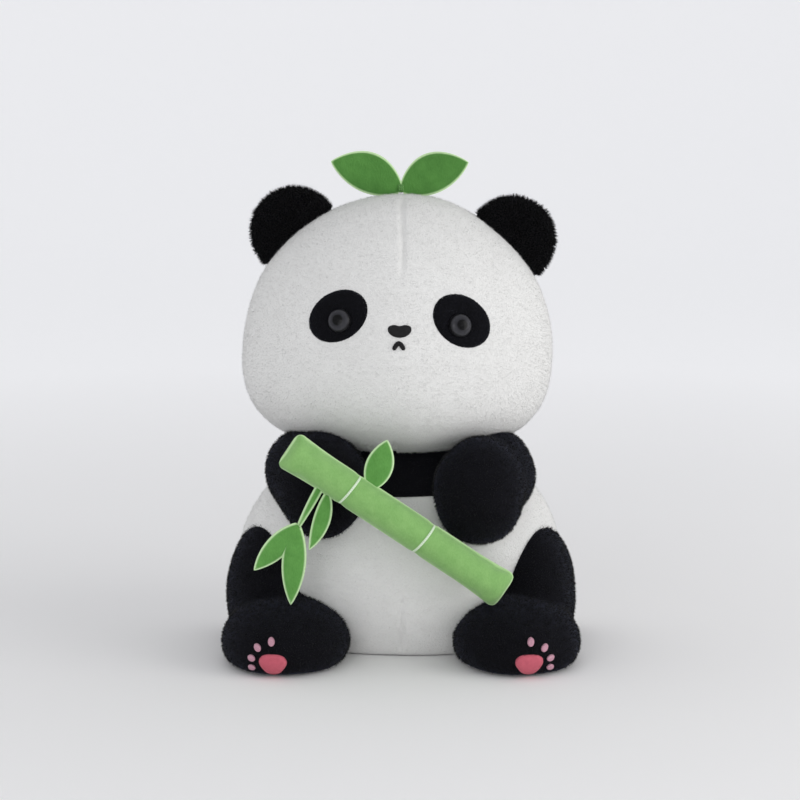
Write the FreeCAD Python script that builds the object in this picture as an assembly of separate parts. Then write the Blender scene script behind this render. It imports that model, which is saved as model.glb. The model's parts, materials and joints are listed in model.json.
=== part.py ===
"""A seated plush panda, 25 cm tall, that hugs a stick of bamboo.

Frame: millimetres, +Z up.  The origin is the centre of the flat base, on the
surface that the panda sits on.  The face looks along -Y, so the panda's own
left side is +X.
"""

import FreeCAD, Part

import math
import os

V = FreeCAD.Vector
os.makedirs("parts", exist_ok=True)

# ---------------------------------------------------------------- materials
plush_thickness = 2.0       # pile fabric of every sewn cover
felt_thickness = 1.6        # two layers of felt, sewn together round the edge
embroidery_height = 0.9     # raised satin stitch of the nose, mouth and paws
patch_thickness = 1.2       # short black pile round each eye
thread_width = 1.4          # heavy thread of the bands and seams

# --------------------------------------------------------------- clearances
fill_gap = 0.3              # between a cover and the stuffing in it
seat_gap = 0.4              # between soft pieces that can move on each other
neck_room = 8.0             # between the torso's top and the head that rocks on it
cheek_room = 8.6            # between the raised arms and the cheeks above them

# -------------------------------------------------------------------- torso
torso_half_width = 85.0
torso_half_depth = 67.0
torso_half_height = 72.0
torso_centre_height = 36.0  # the ellipsoid is cut flat at the base below it
band_drop = 26.0            # lower edge of the black shoulder band, below the top
torso_top = torso_centre_height + torso_half_height

# --------------------------------------------------------------------- head
head_half_width = 81.0
head_half_depth = 66.0
head_rise = 83.0            # from the head's widest level up to the crown
head_drop = 50.0            # from the widest level down to the chin
cheek_reach = 50.0          # how far in the round of the cheek goes, under the head
chin_overlap = 12.0         # the chin hangs this far below the torso's top
head_shift = -1.5           # sideways lean of the head
head_roll = 2.3             # degrees, the panda's left cheek is the lower one
head_centre = V(head_shift, 0, torso_top - chin_overlap + head_drop)

# --------------------------------------------------------------------- neck
neck_ball_radius = 14.0     # wad of stuffing that the head rocks on
neck_ring_radius = 20.0     # ladder stitch that closes the neck
neck_sink = 4.0             # rocking centre, below the torso's top
neck_point = V(0, 0, torso_top - neck_sink)

# --------------------------------------------------------------------- face
eye_spacing = 29.2          # from the middle of the face to each eye
eye_height = 22.0           # above the head's widest level
eye_radius = 5.5
eye_dome_height = 4.2
shank_radius = 2.0
shank_spare = 3.0           # shank that sticks out behind the washer
washer_radius = 7.5
washer_thickness = 1.5
patch_half_length = 15.5
patch_half_width = 11.8
patch_tilt = 35.0           # degrees, the outer end is the lower one
patch_outward = 1.3         # from the eye to the middle of its patch
patch_upward = 2.4
nose_width = 11.4
nose_depth = 6.4
nose_height = 19.3          # its middle, above the head's widest level
nose_corner = 1.8
nose_point = 0.6            # the lower corner, before it is rounded, is this much lower
mouth_radius = 2.6          # middle line of the small downturned arch
mouth_height = 9.6          # middle of that arch's circle

# --------------------------------------------------------------------- ears
ear_angle = 48.0            # round the head's outline, from the side up
ear_half_chord = 23.5
ear_rise = 24.5
ear_half_thickness = 5.5
ear_fold = 15.0             # degrees that an ear bends forward and back
ear_gap = seat_gap + ear_half_thickness * math.sin(math.radians(ear_fold))

# ------------------------------------------------------------------- sprout
sprout_shift = -1.8         # from the crown to the foot of the two leaves
sprout_leaf_tip = V(33.1, 0, 16.9)
sprout_upper_bulge = 11.0
sprout_lower_bulge = 7.5
sprout_fold = 20.0          # degrees that the sprout bends forward and back
sprout_root = 1.2           # half width of the pinched foot
sprout_wrap = felt_thickness / 2 + thread_width
sprout_gap = seat_gap + sprout_wrap * math.sin(math.radians(sprout_fold))

# --------------------------------------------------------------------- arms
shoulder_inset = 35.0       # from the torso's side in to the upper arm
shoulder_drop = 20.0        # from the torso's top down to the upper arm
shoulder_forward = 28.0
shoulder_semis = (18.0, 30.0, 21.0)
paw_inset = 46.0            # from the torso's side in to the paw
paw_drop = 25.0
left_paw_reach = 12.5       # from the belly out to the middle of the left paw
right_paw_reach = 5.5       # the right paw is behind the bamboo
paw_semis = (23.0, 27.0, 27.0)
arm_lift = 4.0              # degrees that both arms and the bamboo swing up
arm_hinge_drop = 6.0        # shoulder seam, below the torso's top
arm_hinge = V(0, shoulder_semis[1] - shoulder_forward, torso_top - arm_hinge_drop)

# --------------------------------------------------------------------- legs
foot_inset = 27.5           # from the torso's side in to the foot
foot_forward = 66.0
foot_height = 11.5
foot_semis = (32.5, 38.0, 21.0)
thigh_inset = 19.0
thigh_forward = 22.0
thigh_height = 30.0
thigh_semis = (25.0, 42.0, 38.0)
thigh_pitch = 32.0          # degrees that the thigh slopes down to the foot
leg_spread = 20.0           # degrees that a leg swings out
hip_inset = 5.0             # hip seam, from the torso's side
hip_back = 5.0
hip_hinge = V(torso_half_width - hip_inset, hip_back, 0)
toe_radius = 2.2
toe_spread = 10.8           # from the middle of the pad to each toe
toe_turns = (-34, 6, 39, 66)   # degrees round the pad, from the print's own turn
pad_semis = (6.6, 5.4)
pad_height = 7.2
pad_outward = 4.5           # from the middle of the foot to the pad
print_turn = 38.0           # degrees that the paw print is turned outward

# ------------------------------------------------------------------- bamboo
bamboo_length = 128.0
bamboo_radius = 8.4
bamboo_slope = 33.4         # degrees, down to the panda's left
bamboo_drop = 31.0          # its middle, below the torso's top
hug_space = 16.5            # between the belly and the back of the bamboo
bamboo_bow = 4.3            # it sags by this between its ends
bamboo_bend = (bamboo_length ** 2 / 4 + bamboo_bow ** 2) / (2 * bamboo_bow)
bamboo_rim = 0.8            # the end seam stands out by this
bamboo_rim_length = 1.6
band_height = 0.9           # thread band, above the bamboo's skin
band_places = (-27.5, 16.0) # along the bamboo, from its middle
leaf_bend = 20.0            # degrees that a felt leaf bends forward
top_leaf_place = -20.5      # the foot of each leaf, along the bamboo
small_leaf_place = -34.0
twig_place = -39.0
top_leaf_reach = V(7.5, 0, 21.5)   # from its foot to its tip
top_leaf_bulges = (5.0, 6.0)       # sideways, on its two sides
top_leaf_root = 3.5         # half width of its foot
small_leaf_reach = V(-9, 0, -26)
small_leaf_bulges = (5.0, 2.5)
stem_reach = V(-12, 0, -20)        # from the twig's foot to its fork
stem_bulges = (2.0, 2.0)
stem_half_width = 1.7
outer_leaf_reach = V(-20, 0, -19)  # from the fork to the tip
inner_leaf_reach = V(-2, 0, -35.7)
twig_leaf_bulges = (5.0, 5.0)
twig_overlap = V(2, 0, 3)   # the leaves start above the fork, on the stem
leaf_tuck = 1.0             # the top leaf's foot is tucked under the bamboo's edge

# --------------------------------------------------------- pouch and tail
pouch_semis = (42.0, 34.0, 13.0)
pouch_height = 22.0
tail_semis = (16.0, 13.0, 14.0)
tail_height = 24.0


def ellipsoid(centre, semis, pitch=0.0):
    """A ball stretched to three half sizes, then pitched about X."""
    stretch = FreeCAD.Matrix()
    stretch.scale(V(*semis))
    shape = Part.makeSphere(1.0).transformGeometry(stretch)
    if pitch:
        shape.rotate(V(0, 0, 0), V(1, 0, 0), pitch)
    shape.translate(centre)
    return shape


def block(low, high):
    """A box between two corners."""
    size = high - low
    return Part.makeBox(size.x, size.y, size.z, low)


big = 2 * (torso_half_width + head_half_width)
front_half = block(V(-big, -big, -big), V(big, 0, big))
back_half = block(V(-big, 0, -big), V(big, big, big))
left_half = block(V(0, -big, -big), V(big, big, big))
right_half = block(V(-big, -big, -big), V(0, big, big))


def above(height):
    """All the space above a level."""
    return block(V(-big, -big, height), V(big, big, big))


def mirrored(shape):
    """The same shape on the panda's right side."""
    return shape.mirror(V(0, 0, 0), V(1, 0, 0))


# ------------------------------------------------------------------- shapes
def torso_shape(grow=0.0, base=0.0):
    """The round torso, grown all over, standing on a level."""
    semis = (torso_half_width + grow, torso_half_depth + grow, torso_half_height + grow)
    return ellipsoid(V(0, 0, torso_centre_height), semis).common(above(base))


def torso_front(x, z):
    """Where the belly's surface is, at a place across and up."""
    across = x / torso_half_width
    up = (z - torso_centre_height) / torso_half_height
    return -torso_half_depth * math.sqrt(1 - across**2 - up**2)


def head_front(x, z):
    """Where the face is, at a place across and up from the head's widest level."""
    across = x / head_half_width
    up = z / head_rise
    return -head_half_depth * math.sqrt(1 - across**2 - up**2)


def head_outline(grow):
    """Half the head's outline: a quarter ellipse, a rounder cheek and a flat chin."""
    wide = head_half_width + grow
    rise = head_rise + grow
    drop = head_drop + grow
    cheek = cheek_reach + grow
    half = math.sqrt(0.5)
    crown = V(0, 0, rise)
    side = V(wide, 0, 0)
    chin = V(wide - cheek, 0, -drop)
    below = V(0, 0, -drop)
    upper = Part.Ellipse(crown, side, V(0, 0, 0)) if rise > wide else Part.Ellipse(
        side, crown, V(0, 0, 0))
    first, last = sorted((upper.parameter(crown), upper.parameter(side)))
    upper = upper.toShape(first, last)
    cheek_curve = Part.Arc(side, V(wide - cheek * (1 - half), 0, -drop * half), chin)
    return Part.Wire(Part.sortEdges([upper, cheek_curve.toShape(), Part.makeLine(chin, below),
                                     Part.makeLine(below, crown)])[0])


def head_shape(grow=0.0):
    """The head about its own middle: the outline spun round, then made shallower."""
    spun = Part.Face(head_outline(grow)).revolve(V(0, 0, 0), V(0, 0, 1), 360)
    narrow = FreeCAD.Matrix()
    narrow.scale(V(1, (head_half_depth + grow) / (head_half_width + grow), 1))
    return spun.transformGeometry(narrow)


def on_neck(shape):
    """Rolls a piece of the head a little and lifts it to its place."""
    placed = shape.copy()
    placed.rotate(V(0, 0, 0), V(0, 1, 0), head_roll)
    placed.translate(head_centre)
    return placed


def neck_ball(grow=0.0):
    return Part.makeSphere(neck_ball_radius + grow, neck_point)


def bamboo_middle():
    """The middle of the bamboo, held off the belly."""
    height = torso_top - bamboo_drop
    return V(0, torso_front(0, height) - hug_space - bamboo_radius, height)


def along_bamboo(shape):
    """Lays a shape that was made along +X round the origin on the bamboo's line."""
    placed = shape.copy()
    placed.rotate(V(0, 0, 0), V(0, 1, 0), bamboo_slope)
    placed.translate(bamboo_middle())
    return placed


def bowed_bar(radius, start, end, hole=0.0):
    """A round bar on the bamboo's bowed line, between two places along it."""
    hub = V(0, 0, bamboo_bend - bamboo_bow)
    around = V(0, -1, 0)
    lowest = V(0, 0, -bamboo_bow)
    disc = Part.Face(Part.Wire(Part.makeCircle(radius, lowest, V(1, 0, 0))))
    if hole:
        disc = disc.cut(Part.Face(Part.Wire(Part.makeCircle(hole, lowest, V(1, 0, 0)))))
    disc.rotate(hub, around, math.degrees(start / bamboo_bend))
    bar = disc.revolve(hub, around, math.degrees((end - start) / bamboo_bend))
    return along_bamboo(bar.Solids[0])


def bamboo_rod(radius, length):
    return bowed_bar(radius, -length / 2, length / 2)


def arm_shape(inset, reach):
    """Upper arm and paw of the left arm, hollowed where it meets its neighbours."""
    shoulder_at = V(torso_half_width - shoulder_inset, -shoulder_forward,
                    torso_top - shoulder_drop)
    paw_x = torso_half_width - paw_inset
    paw_z = torso_top - paw_drop
    paw_at = V(paw_x, torso_front(paw_x, paw_z) - reach, paw_z)
    upper = ellipsoid(shoulder_at, [s - inset for s in shoulder_semis])
    paw = ellipsoid(paw_at, [s - inset for s in paw_semis])
    arm = upper.fuse(paw)
    arm = arm.cut(torso_shape(seat_gap + inset, -big))
    return arm.cut(on_neck(head_shape(cheek_room + inset)))


def arm_clear_of_bamboo(arm, inset):
    room = band_height + seat_gap + inset
    return arm.cut(bamboo_rod(bamboo_radius + room, bamboo_length + 2 * room))


def leg_shape(inset):
    """Foot and thigh of the left leg, flat below and hollowed against the torso."""
    foot_at = V(torso_half_width - foot_inset, -foot_forward, foot_height)
    thigh_at = V(torso_half_width - thigh_inset, -thigh_forward, thigh_height)
    foot = ellipsoid(foot_at, [s - inset for s in foot_semis])
    thigh = ellipsoid(thigh_at, [s - inset for s in thigh_semis], thigh_pitch)
    hip = block(V(-big, -big, inset), V(big, hip_back - seat_gap - inset, big))
    leg = foot.fuse(thigh).common(hip)
    return leg.cut(torso_shape(seat_gap + inset, -big))


def cover_of(outer, inner):
    return outer.cut(inner)


def leaf(foot, tip, upper_bulge, lower_bulge, foot_width=0.0):
    """A flat pointed leaf in the XZ plane, between two arcs, as thick as the felt."""
    line = (tip - foot).normalize()
    side = V(-line.z, 0, line.x)
    middle = (foot + tip) * 0.5
    upper_foot = foot + side * foot_width
    lower_foot = foot - side * foot_width
    upper = Part.Arc(upper_foot, middle + side * upper_bulge, tip).toShape()
    lower = Part.Arc(tip, middle - side * lower_bulge, lower_foot).toShape()
    edges = [upper, lower]
    if foot_width:
        edges.append(Part.makeLine(lower_foot, upper_foot))
    felt = Part.Face(Part.Wire(edges)).extrude(V(0, felt_thickness, 0))
    felt.translate(V(0, -felt_thickness / 2, 0))
    return felt


def save(name, shape):
    shape.exportStep(f"parts/{name}.step")
    print(f"{name}: {len(shape.Solids)} solid(s), {shape.Volume / 1000:.2f} cm3")


# -------------------------------------------------------------------- torso
def make_torso():
    """Six sewn panels, the stuffing, the pouch of pellets that weighs it, and a tail."""
    outer = torso_shape()
    inner = torso_shape(-plush_thickness, plush_thickness)
    shell = outer.cut(inner).cut(neck_ball(seat_gap))
    band_bottom = torso_top - band_drop
    base = shell.cut(above(plush_thickness))
    sides = shell.common(above(plush_thickness))
    band = sides.common(above(band_bottom))
    lower = sides.cut(above(band_bottom))
    save("base_panel", base)
    save("belly_panel", lower.common(front_half))
    save("back_panel_left", lower.common(back_half).common(left_half))
    save("back_panel_right", lower.common(back_half).common(right_half))
    save("shoulder_band_front", band.common(front_half))
    save("shoulder_band_back", band.common(back_half))

    filled = plush_thickness + fill_gap
    pouch_at = V(0, 0, pouch_height)
    pocket = ellipsoid(pouch_at, [s + fill_gap for s in pouch_semis])
    stuffing = torso_shape(-filled, filled).cut(neck_ball(seat_gap)).cut(pocket)
    save("torso_stuffing", stuffing)
    save("pellet_pouch", ellipsoid(pouch_at, pouch_semis))

    tail_at = V(0, -torso_front(0, tail_height) + tail_semis[1] / 3, tail_height)
    tail_outer = ellipsoid(tail_at, tail_semis).cut(torso_shape())
    tail_inner = ellipsoid(tail_at, [s - plush_thickness for s in tail_semis])
    tail_fill = ellipsoid(tail_at, [s - filled for s in tail_semis])
    save("tail_cover", tail_outer.cut(tail_inner.cut(torso_shape(plush_thickness))))
    save("tail_stuffing", tail_fill.cut(torso_shape(filled)))


# --------------------------------------------------------------------- neck
def make_neck():
    """The wad of stuffing in the neck, and the ring of thread that closes the seam."""
    save("neck_stuffing", neck_ball())
    ring_height = torso_top - torso_half_height * (
        1 - math.sqrt(1 - (neck_ring_radius / torso_half_width) ** 2))
    ring = Part.makeTorus(neck_ring_radius, thread_width / 2)
    ring.translate(V(0, 0, ring_height + thread_width / 2 + seat_gap))
    save("neck_stitching", ring)


# --------------------------------------------------------------------- head
def eye_frame(side):
    """Where an eye sits on the face, with Z out of the face."""
    x = side * eye_spacing
    at = V(x, head_front(x, eye_height), eye_height)
    out = V(at.x / head_half_width**2, at.y / head_half_depth**2, at.z / head_rise**2)
    return FreeCAD.Placement(at, FreeCAD.Rotation(V(0, 0, 1), out))


def seated(shape, frame):
    placed = shape.copy()
    placed.Placement = frame.multiply(placed.Placement)
    return placed


def washer_depth():
    """From the face's surface in to the washer, which is flat behind a curved panel."""
    hollow = washer_radius**2 / (2 * head_half_depth)
    return plush_thickness + hollow + fill_gap


def shank(grow=0.0):
    length = washer_depth() + washer_thickness + shank_spare
    return Part.makeCylinder(shank_radius + grow, length + patch_thickness + grow,
                             V(0, 0, -length - grow))


def eye_dome():
    """A glossy cap, as a slice of a ball, with the shank below it."""
    ball_radius = (eye_radius**2 + eye_dome_height**2) / (2 * eye_dome_height)
    ball = Part.makeSphere(ball_radius, V(0, 0, eye_dome_height - ball_radius))
    cap = ball.common(block(V(-big, -big, 0), V(big, big, big)))
    cap.translate(V(0, 0, patch_thickness))
    return cap.fuse(shank())


def washer():
    return Part.makeCylinder(washer_radius, washer_thickness,
                             V(0, 0, -washer_depth() - washer_thickness))


def washer_pocket():
    """Room in the stuffing for the washer and the end of the shank, open to the panel."""
    depth = washer_depth() + washer_thickness + fill_gap
    pocket = Part.makeCylinder(washer_radius + fill_gap, depth, V(0, 0, -depth))
    return pocket.fuse(shank(fill_gap))


def oval_prism(x, z, half_length, half_width, tilt):
    """An oval bar along Y, big enough to cut through the front of a piece."""
    oval = Part.Face(Part.Wire(Part.Ellipse(V(0, 0, 0), half_length, half_width).toShape()))
    bar = oval.extrude(V(0, 0, big))
    bar.rotate(V(0, 0, 0), V(0, 0, 1), tilt)
    bar.rotate(V(0, 0, 0), V(1, 0, 0), 90)
    bar.translate(V(x, 0, z))
    return bar


def stitched(prism, skin, ground):
    """What a bar along Y leaves between a surface and the skin raised on it."""
    return prism.common(skin).cut(ground)


def nose_prism():
    """A rounded triangle, point down."""
    half = nose_width / 2 + nose_corner
    top = nose_height + nose_depth / 2
    bottom = nose_height - nose_depth / 2
    corners = [V(-half, 0, top), V(half, 0, top), V(0, 0, bottom - nose_point)]
    outline = Part.makePolygon(corners + corners[:1])
    bar = Part.Face(outline).extrude(V(0, -big, 0))
    uprights = [e for e in bar.Edges if abs(e.tangentAt(e.FirstParameter).y) > 0.9]
    return bar.makeFillet(nose_corner, uprights)


def mouth_prism():
    """Half a ring, open below."""
    outer = Part.makeCylinder(mouth_radius + thread_width / 2, big, V(0, 0, 0), V(0, -1, 0))
    inner = Part.makeCylinder(mouth_radius - thread_width / 2, big, V(0, 0, 0), V(0, -1, 0))
    arch = outer.cut(inner).common(above(0))
    arch.translate(V(0, 0, mouth_height))
    return arch


def make_head():
    """Three panels round the stuffing, and the face that is sewn and pressed on them."""
    outer = head_shape()
    inner = head_shape(-plush_thickness)
    frames = {"left": eye_frame(1), "right": eye_frame(-1)}
    shell = outer.cut(inner)
    stuffing = head_shape(-plush_thickness - fill_gap)
    face_side = front_half
    face = shell.common(face_side)
    back = shell.common(back_half)
    patch_skin = head_shape(patch_thickness).common(face_side)
    for name, frame in frames.items():
        side = 1 if name == "left" else -1
        bar = oval_prism(side * (eye_spacing + patch_outward), eye_height + patch_upward,
                         patch_half_length, patch_half_width, -side * patch_tilt)
        hole = seated(shank(), frame)
        patch = stitched(bar, patch_skin, outer).cut(hole)
        save(f"eye_patch_{name}", on_neck(patch))
        save(f"eye_{name}", on_neck(seated(eye_dome(), frame)))
        save(f"eye_washer_{name}", on_neck(seated(washer().cut(shank()), frame)))
        face = face.cut(hole)
        stuffing = stuffing.cut(seated(washer_pocket(), frame))

    raised = head_shape(embroidery_height).common(face_side)
    save("nose_stitching", on_neck(stitched(nose_prism(), raised, outer)))
    save("mouth_stitching", on_neck(stitched(mouth_prism(), raised, outer)))

    neck_hollow = torso_shape(neck_room, -big).fuse(neck_ball(seat_gap))
    save("face_panel", on_neck(face).cut(neck_hollow))
    save("head_back_left", on_neck(back.common(left_half)).cut(neck_hollow))
    save("head_back_right", on_neck(back.common(right_half)).cut(neck_hollow))
    save("head_stuffing", on_neck(stuffing).cut(neck_hollow))


# --------------------------------------------------------------------- ears
def ear_frame():
    """The middle of the left ear's seam on the head, and its turn about Y."""
    turn = math.radians(ear_angle)
    at = V(head_half_width * math.cos(turn), 0, head_rise * math.sin(turn))
    out = V(at.x / head_half_width**2, 0, at.z / head_rise**2)
    return at, math.degrees(math.atan2(out.x, out.z))


def ear_shape(inset):
    at, turn = ear_frame()
    semis = [ear_half_chord - inset, ear_half_thickness - inset, ear_rise - inset]
    ear = ellipsoid(V(0, 0, 0), semis)
    ear.rotate(V(0, 0, 0), V(0, 1, 0), turn)
    ear.translate(at)
    return ear.cut(head_shape(ear_gap + inset))


def make_ears():
    """Each ear: a front and a back half of shaggy pile, with a thin filling."""
    outer = ear_shape(0.0)
    inner = ear_shape(plush_thickness)
    shell = outer.cut(inner)
    pieces = {"front": shell.common(front_half), "back": shell.common(back_half)}
    pieces["stuffing"] = ear_shape(plush_thickness + fill_gap)
    for part_name, piece in pieces.items():
        save(f"ear_left_{part_name}", on_neck(piece))
        save(f"ear_right_{part_name}", on_neck(mirrored(piece)))


# ------------------------------------------------------------------- sprout
def sprout_foot():
    """Where the sprout is sewn on, beside the crown."""
    rise = head_rise * math.sqrt(1 - (sprout_shift / head_half_width) ** 2)
    return V(sprout_shift, 0, rise + sprout_gap + sprout_root)


def make_sprout():
    """Two felt leaves and the stitch that pinches them together."""
    petal = leaf(V(0, 0, 0), sprout_leaf_tip, sprout_upper_bulge, sprout_lower_bulge,
                 sprout_root)
    petal = petal.common(block(V(sprout_root, -big, -sprout_root), V(big, big, big)))
    stitch = block(V(-sprout_root, -sprout_wrap, -sprout_root),
                   V(sprout_root, sprout_wrap, 2 * sprout_root))
    stitch = stitch.makeFillet(thread_width / 3, stitch.Edges)
    pieces = {"sprout_leaf_left": petal, "sprout_leaf_right": mirrored(petal),
              "sprout_stitch": stitch}
    for name, piece in pieces.items():
        piece.translate(sprout_foot())
        save(name, on_neck(piece))


# --------------------------------------------------------------------- arms
def make_arms():
    """Each arm: a cover and its stuffing, grooved where the bamboo lies."""
    for name, reach in (("left", left_paw_reach), ("right", right_paw_reach)):
        shapes = []
        for inset in (0.0, plush_thickness, plush_thickness + fill_gap):
            arm = arm_shape(inset, reach)
            if name == "right":
                arm = mirrored(arm)
            shapes.append(arm_clear_of_bamboo(arm, inset))
        save(f"arm_{name}_cover", cover_of(shapes[0], shapes[1]))
        save(f"arm_{name}_stuffing", shapes[2])


# --------------------------------------------------------------------- legs
def paw_print(foot_x):
    """The pad and the toes of the left foot, as bars along Y."""
    turn = math.radians(print_turn)
    at = V(foot_x + pad_outward, 0, pad_height)
    bars = [oval_prism(at.x, at.z, pad_semis[0], pad_semis[1], -print_turn)]
    for toe_turn in toe_turns:
        toward = turn + math.radians(toe_turn)
        toe_x = at.x + toe_spread * math.sin(toward)
        toe_z = at.z + toe_spread * math.cos(toward)
        bars.append(oval_prism(toe_x, toe_z, toe_radius, toe_radius - 0.4, 0))
    return bars


def make_legs():
    """Each leg: a cover, its stuffing and the embroidered paw print."""
    outer = leg_shape(0.0)
    pieces = {"cover": cover_of(outer, leg_shape(plush_thickness))}
    pieces["stuffing"] = leg_shape(plush_thickness + fill_gap)
    foot_x = torso_half_width - foot_inset
    foot_at = V(foot_x, -foot_forward, foot_height)
    raised = ellipsoid(foot_at, [s + embroidery_height for s in foot_semis])
    toe_side = block(V(-big, -big, embroidery_height), V(big, -foot_forward, big))
    raised = raised.common(toe_side)
    bars = paw_print(foot_x)
    pieces["pad"] = stitched(bars[0], raised, outer)
    pieces["toes"] = Part.makeCompound([stitched(bar, raised, outer) for bar in bars[1:]])
    for part_name, piece in pieces.items():
        save(f"leg_left_{part_name}", piece)
        save(f"leg_right_{part_name}", mirrored(piece))


# ------------------------------------------------------------------- bamboo
def bamboo_skin():
    """The bowed tube, with a rim at each end where its seam stands out."""
    half = bamboo_length / 2
    rim = bamboo_radius + bamboo_rim
    upper_rim = bowed_bar(rim, -half, bamboo_rim_length - half)
    lower_rim = bowed_bar(rim, half - bamboo_rim_length, half)
    tube = bamboo_rod(bamboo_radius, bamboo_length)
    return tube.fuse([upper_rim, lower_rim]).removeSplitter()


def make_bamboo():
    """A stuffed felt tube with two thread bands."""
    hollow = bamboo_rod(bamboo_radius - felt_thickness, bamboo_length - 2 * felt_thickness)
    save("bamboo_cover", bamboo_skin().cut(hollow))
    inset = felt_thickness + fill_gap
    save("bamboo_stuffing", bamboo_rod(bamboo_radius - inset, bamboo_length - 2 * inset))
    for name, place in zip(("upper", "lower"), band_places):
        start = place - thread_width / 2
        band = bowed_bar(bamboo_radius + band_height, start, start + thread_width, bamboo_radius)
        save(f"bamboo_band_{name}", band)


def bamboo_place(along, across):
    """A point on the bamboo's front plane: along its bowed line, and up across it."""
    bend = along / bamboo_bend
    reach = bamboo_bend - across
    over = reach * math.sin(bend)
    up = bamboo_bend - bamboo_bow - reach * math.cos(bend)
    turn = math.radians(bamboo_slope)
    middle = bamboo_middle()
    return V(middle.x + over * math.cos(turn) + up * math.sin(turn), 0,
             middle.z - over * math.sin(turn) + up * math.cos(turn))


def make_bamboo_leaves():
    """One leaf above the bamboo, and below it a small leaf and a forked twig."""
    clear = bamboo_radius + band_height + seat_gap
    plane = bamboo_middle().y
    pieces = {}
    for name, (foot, tip, bulges, foot_width) in leaf_plan(clear).items():
        pieces[name] = leaf(foot, tip, bulges[0], bulges[1], foot_width)
    twig = pieces.pop("twig_stem").fuse([pieces.pop("twig_outer"), pieces.pop("twig_inner")])
    pieces["bamboo_twig"] = twig.removeSplitter()
    rod = bamboo_rod(clear, 2 * bamboo_length)
    for name, piece in pieces.items():
        piece.translate(V(0, plane, 0))
        save(name, piece.cut(rod))


def leaf_plan(clear):
    """Foot, tip, the two bulges and the foot's half width of each felt leaf."""
    top_foot = bamboo_place(top_leaf_place, clear - leaf_tuck)
    small_foot = bamboo_place(small_leaf_place, -clear)
    stem_foot = bamboo_place(twig_place, -clear)
    fork = stem_foot + stem_reach
    outer_foot = fork + twig_overlap
    inner_foot = outer_foot - V(leaf_tuck, 0, 0)
    return {
        "bamboo_leaf_top": (top_foot, top_foot + top_leaf_reach, top_leaf_bulges,
                            top_leaf_root),
        "bamboo_leaf_small": (small_foot, small_foot + small_leaf_reach, small_leaf_bulges,
                              stem_half_width),
        "twig_stem": (stem_foot, fork - twig_overlap * 0.5, stem_bulges, stem_half_width),
        "twig_outer": (outer_foot, fork + outer_leaf_reach, twig_leaf_bulges, stem_half_width),
        "twig_inner": (inner_foot, fork + inner_leaf_reach, twig_leaf_bulges, stem_half_width),
    }


make_torso()
make_neck()
make_head()
make_ears()
make_sprout()
make_arms()
make_legs()
make_bamboo()
make_bamboo_leaves()
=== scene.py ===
# %% [markdown]
# # A seated plush panda that hugs a stick of bamboo
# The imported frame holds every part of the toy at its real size. This notebook dresses it:
# each sewn cover is made again as a soft, stuffed shape with a pile of short fibres, and the
# felt, the thread and the eyes get surfaces of their own. Everything is in metres.

# %% Load the frame
import json
import math

import bpy
import numpy as np
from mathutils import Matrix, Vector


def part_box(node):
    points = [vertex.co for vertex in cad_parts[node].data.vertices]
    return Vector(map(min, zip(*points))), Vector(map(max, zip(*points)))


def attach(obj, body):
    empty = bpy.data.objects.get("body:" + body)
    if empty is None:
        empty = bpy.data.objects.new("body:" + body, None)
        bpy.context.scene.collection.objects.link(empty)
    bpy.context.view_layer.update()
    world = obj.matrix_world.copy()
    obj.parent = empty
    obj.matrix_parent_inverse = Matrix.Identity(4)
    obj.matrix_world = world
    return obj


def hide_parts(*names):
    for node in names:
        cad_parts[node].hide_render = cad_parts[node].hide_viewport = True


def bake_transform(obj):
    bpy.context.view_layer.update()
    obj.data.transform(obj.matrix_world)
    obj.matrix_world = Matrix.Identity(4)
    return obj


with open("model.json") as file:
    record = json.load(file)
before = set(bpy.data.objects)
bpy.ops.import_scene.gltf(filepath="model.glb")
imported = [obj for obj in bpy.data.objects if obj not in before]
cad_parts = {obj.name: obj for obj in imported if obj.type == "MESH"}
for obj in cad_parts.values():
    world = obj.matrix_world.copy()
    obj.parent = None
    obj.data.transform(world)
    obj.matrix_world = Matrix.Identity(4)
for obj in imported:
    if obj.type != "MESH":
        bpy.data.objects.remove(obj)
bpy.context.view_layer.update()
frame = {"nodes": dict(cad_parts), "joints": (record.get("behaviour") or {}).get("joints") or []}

mm = 0.001
joints = {joint["name"]: joint for joint in frame["joints"]}

# %% [markdown]
# ## Places, read from the frame
# A toy maker works from a pattern. The pattern here is the frame: the head's size, the lean
# of the head and the line of the bamboo all come from boxes round its parts and from its
# joints, so that the covers fit if the pattern changes.

# %% Sizes and places of the big shapes


def span(*nodes):
    """Lowest and highest corner of several parts together."""
    corners = np.array([[tuple(c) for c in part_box(n)] for n in nodes])
    return corners[:, 0].min(0), corners[:, 1].max(0)


def joint_place(name):
    return np.array(joints[name]["pos_m"])


def joint_axis(name):
    axis = np.array(joints[name]["axis"], float)
    return axis / np.linalg.norm(axis)


def unit(vectors):
    vectors = np.asarray(vectors, float)
    return vectors / np.maximum(np.linalg.norm(vectors, axis=-1, keepdims=True), 1e-12)


head_low, head_high = span("face_panel", "head_back_left", "head_back_right")
lean_axis = joint_axis("sprout_fold")
head_lean = math.atan2(-lean_axis[2], lean_axis[0])
pile_length = 1.1 * mm
head_wide = (head_high[0] - head_low[0]) / 2 - 1.4 * pile_length
head_deep = (head_high[1] - head_low[1]) / 2 - pile_length
head_rise = 83 * mm
head_drop = 50 * mm
head_middle = np.array([(head_low[0] + head_high[0]) / 2 - 0.4 * mm, 0,
                        head_high[2] - head_rise])

torso_low, torso_high = span("belly_panel", "back_panel_left", "shoulder_band_front")
torso_wide = torso_high[0]
torso_deep = -torso_low[1]
torso_middle = np.array([0, 0, 36 * mm])
torso_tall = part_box("shoulder_band_front")[1][2] + 1.5 * mm - torso_middle[2]
band_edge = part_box("shoulder_band_front")[0][2]
print("head half width %.1f mm, torso half width %.1f mm" % (head_wide / mm, torso_wide / mm))

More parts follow.
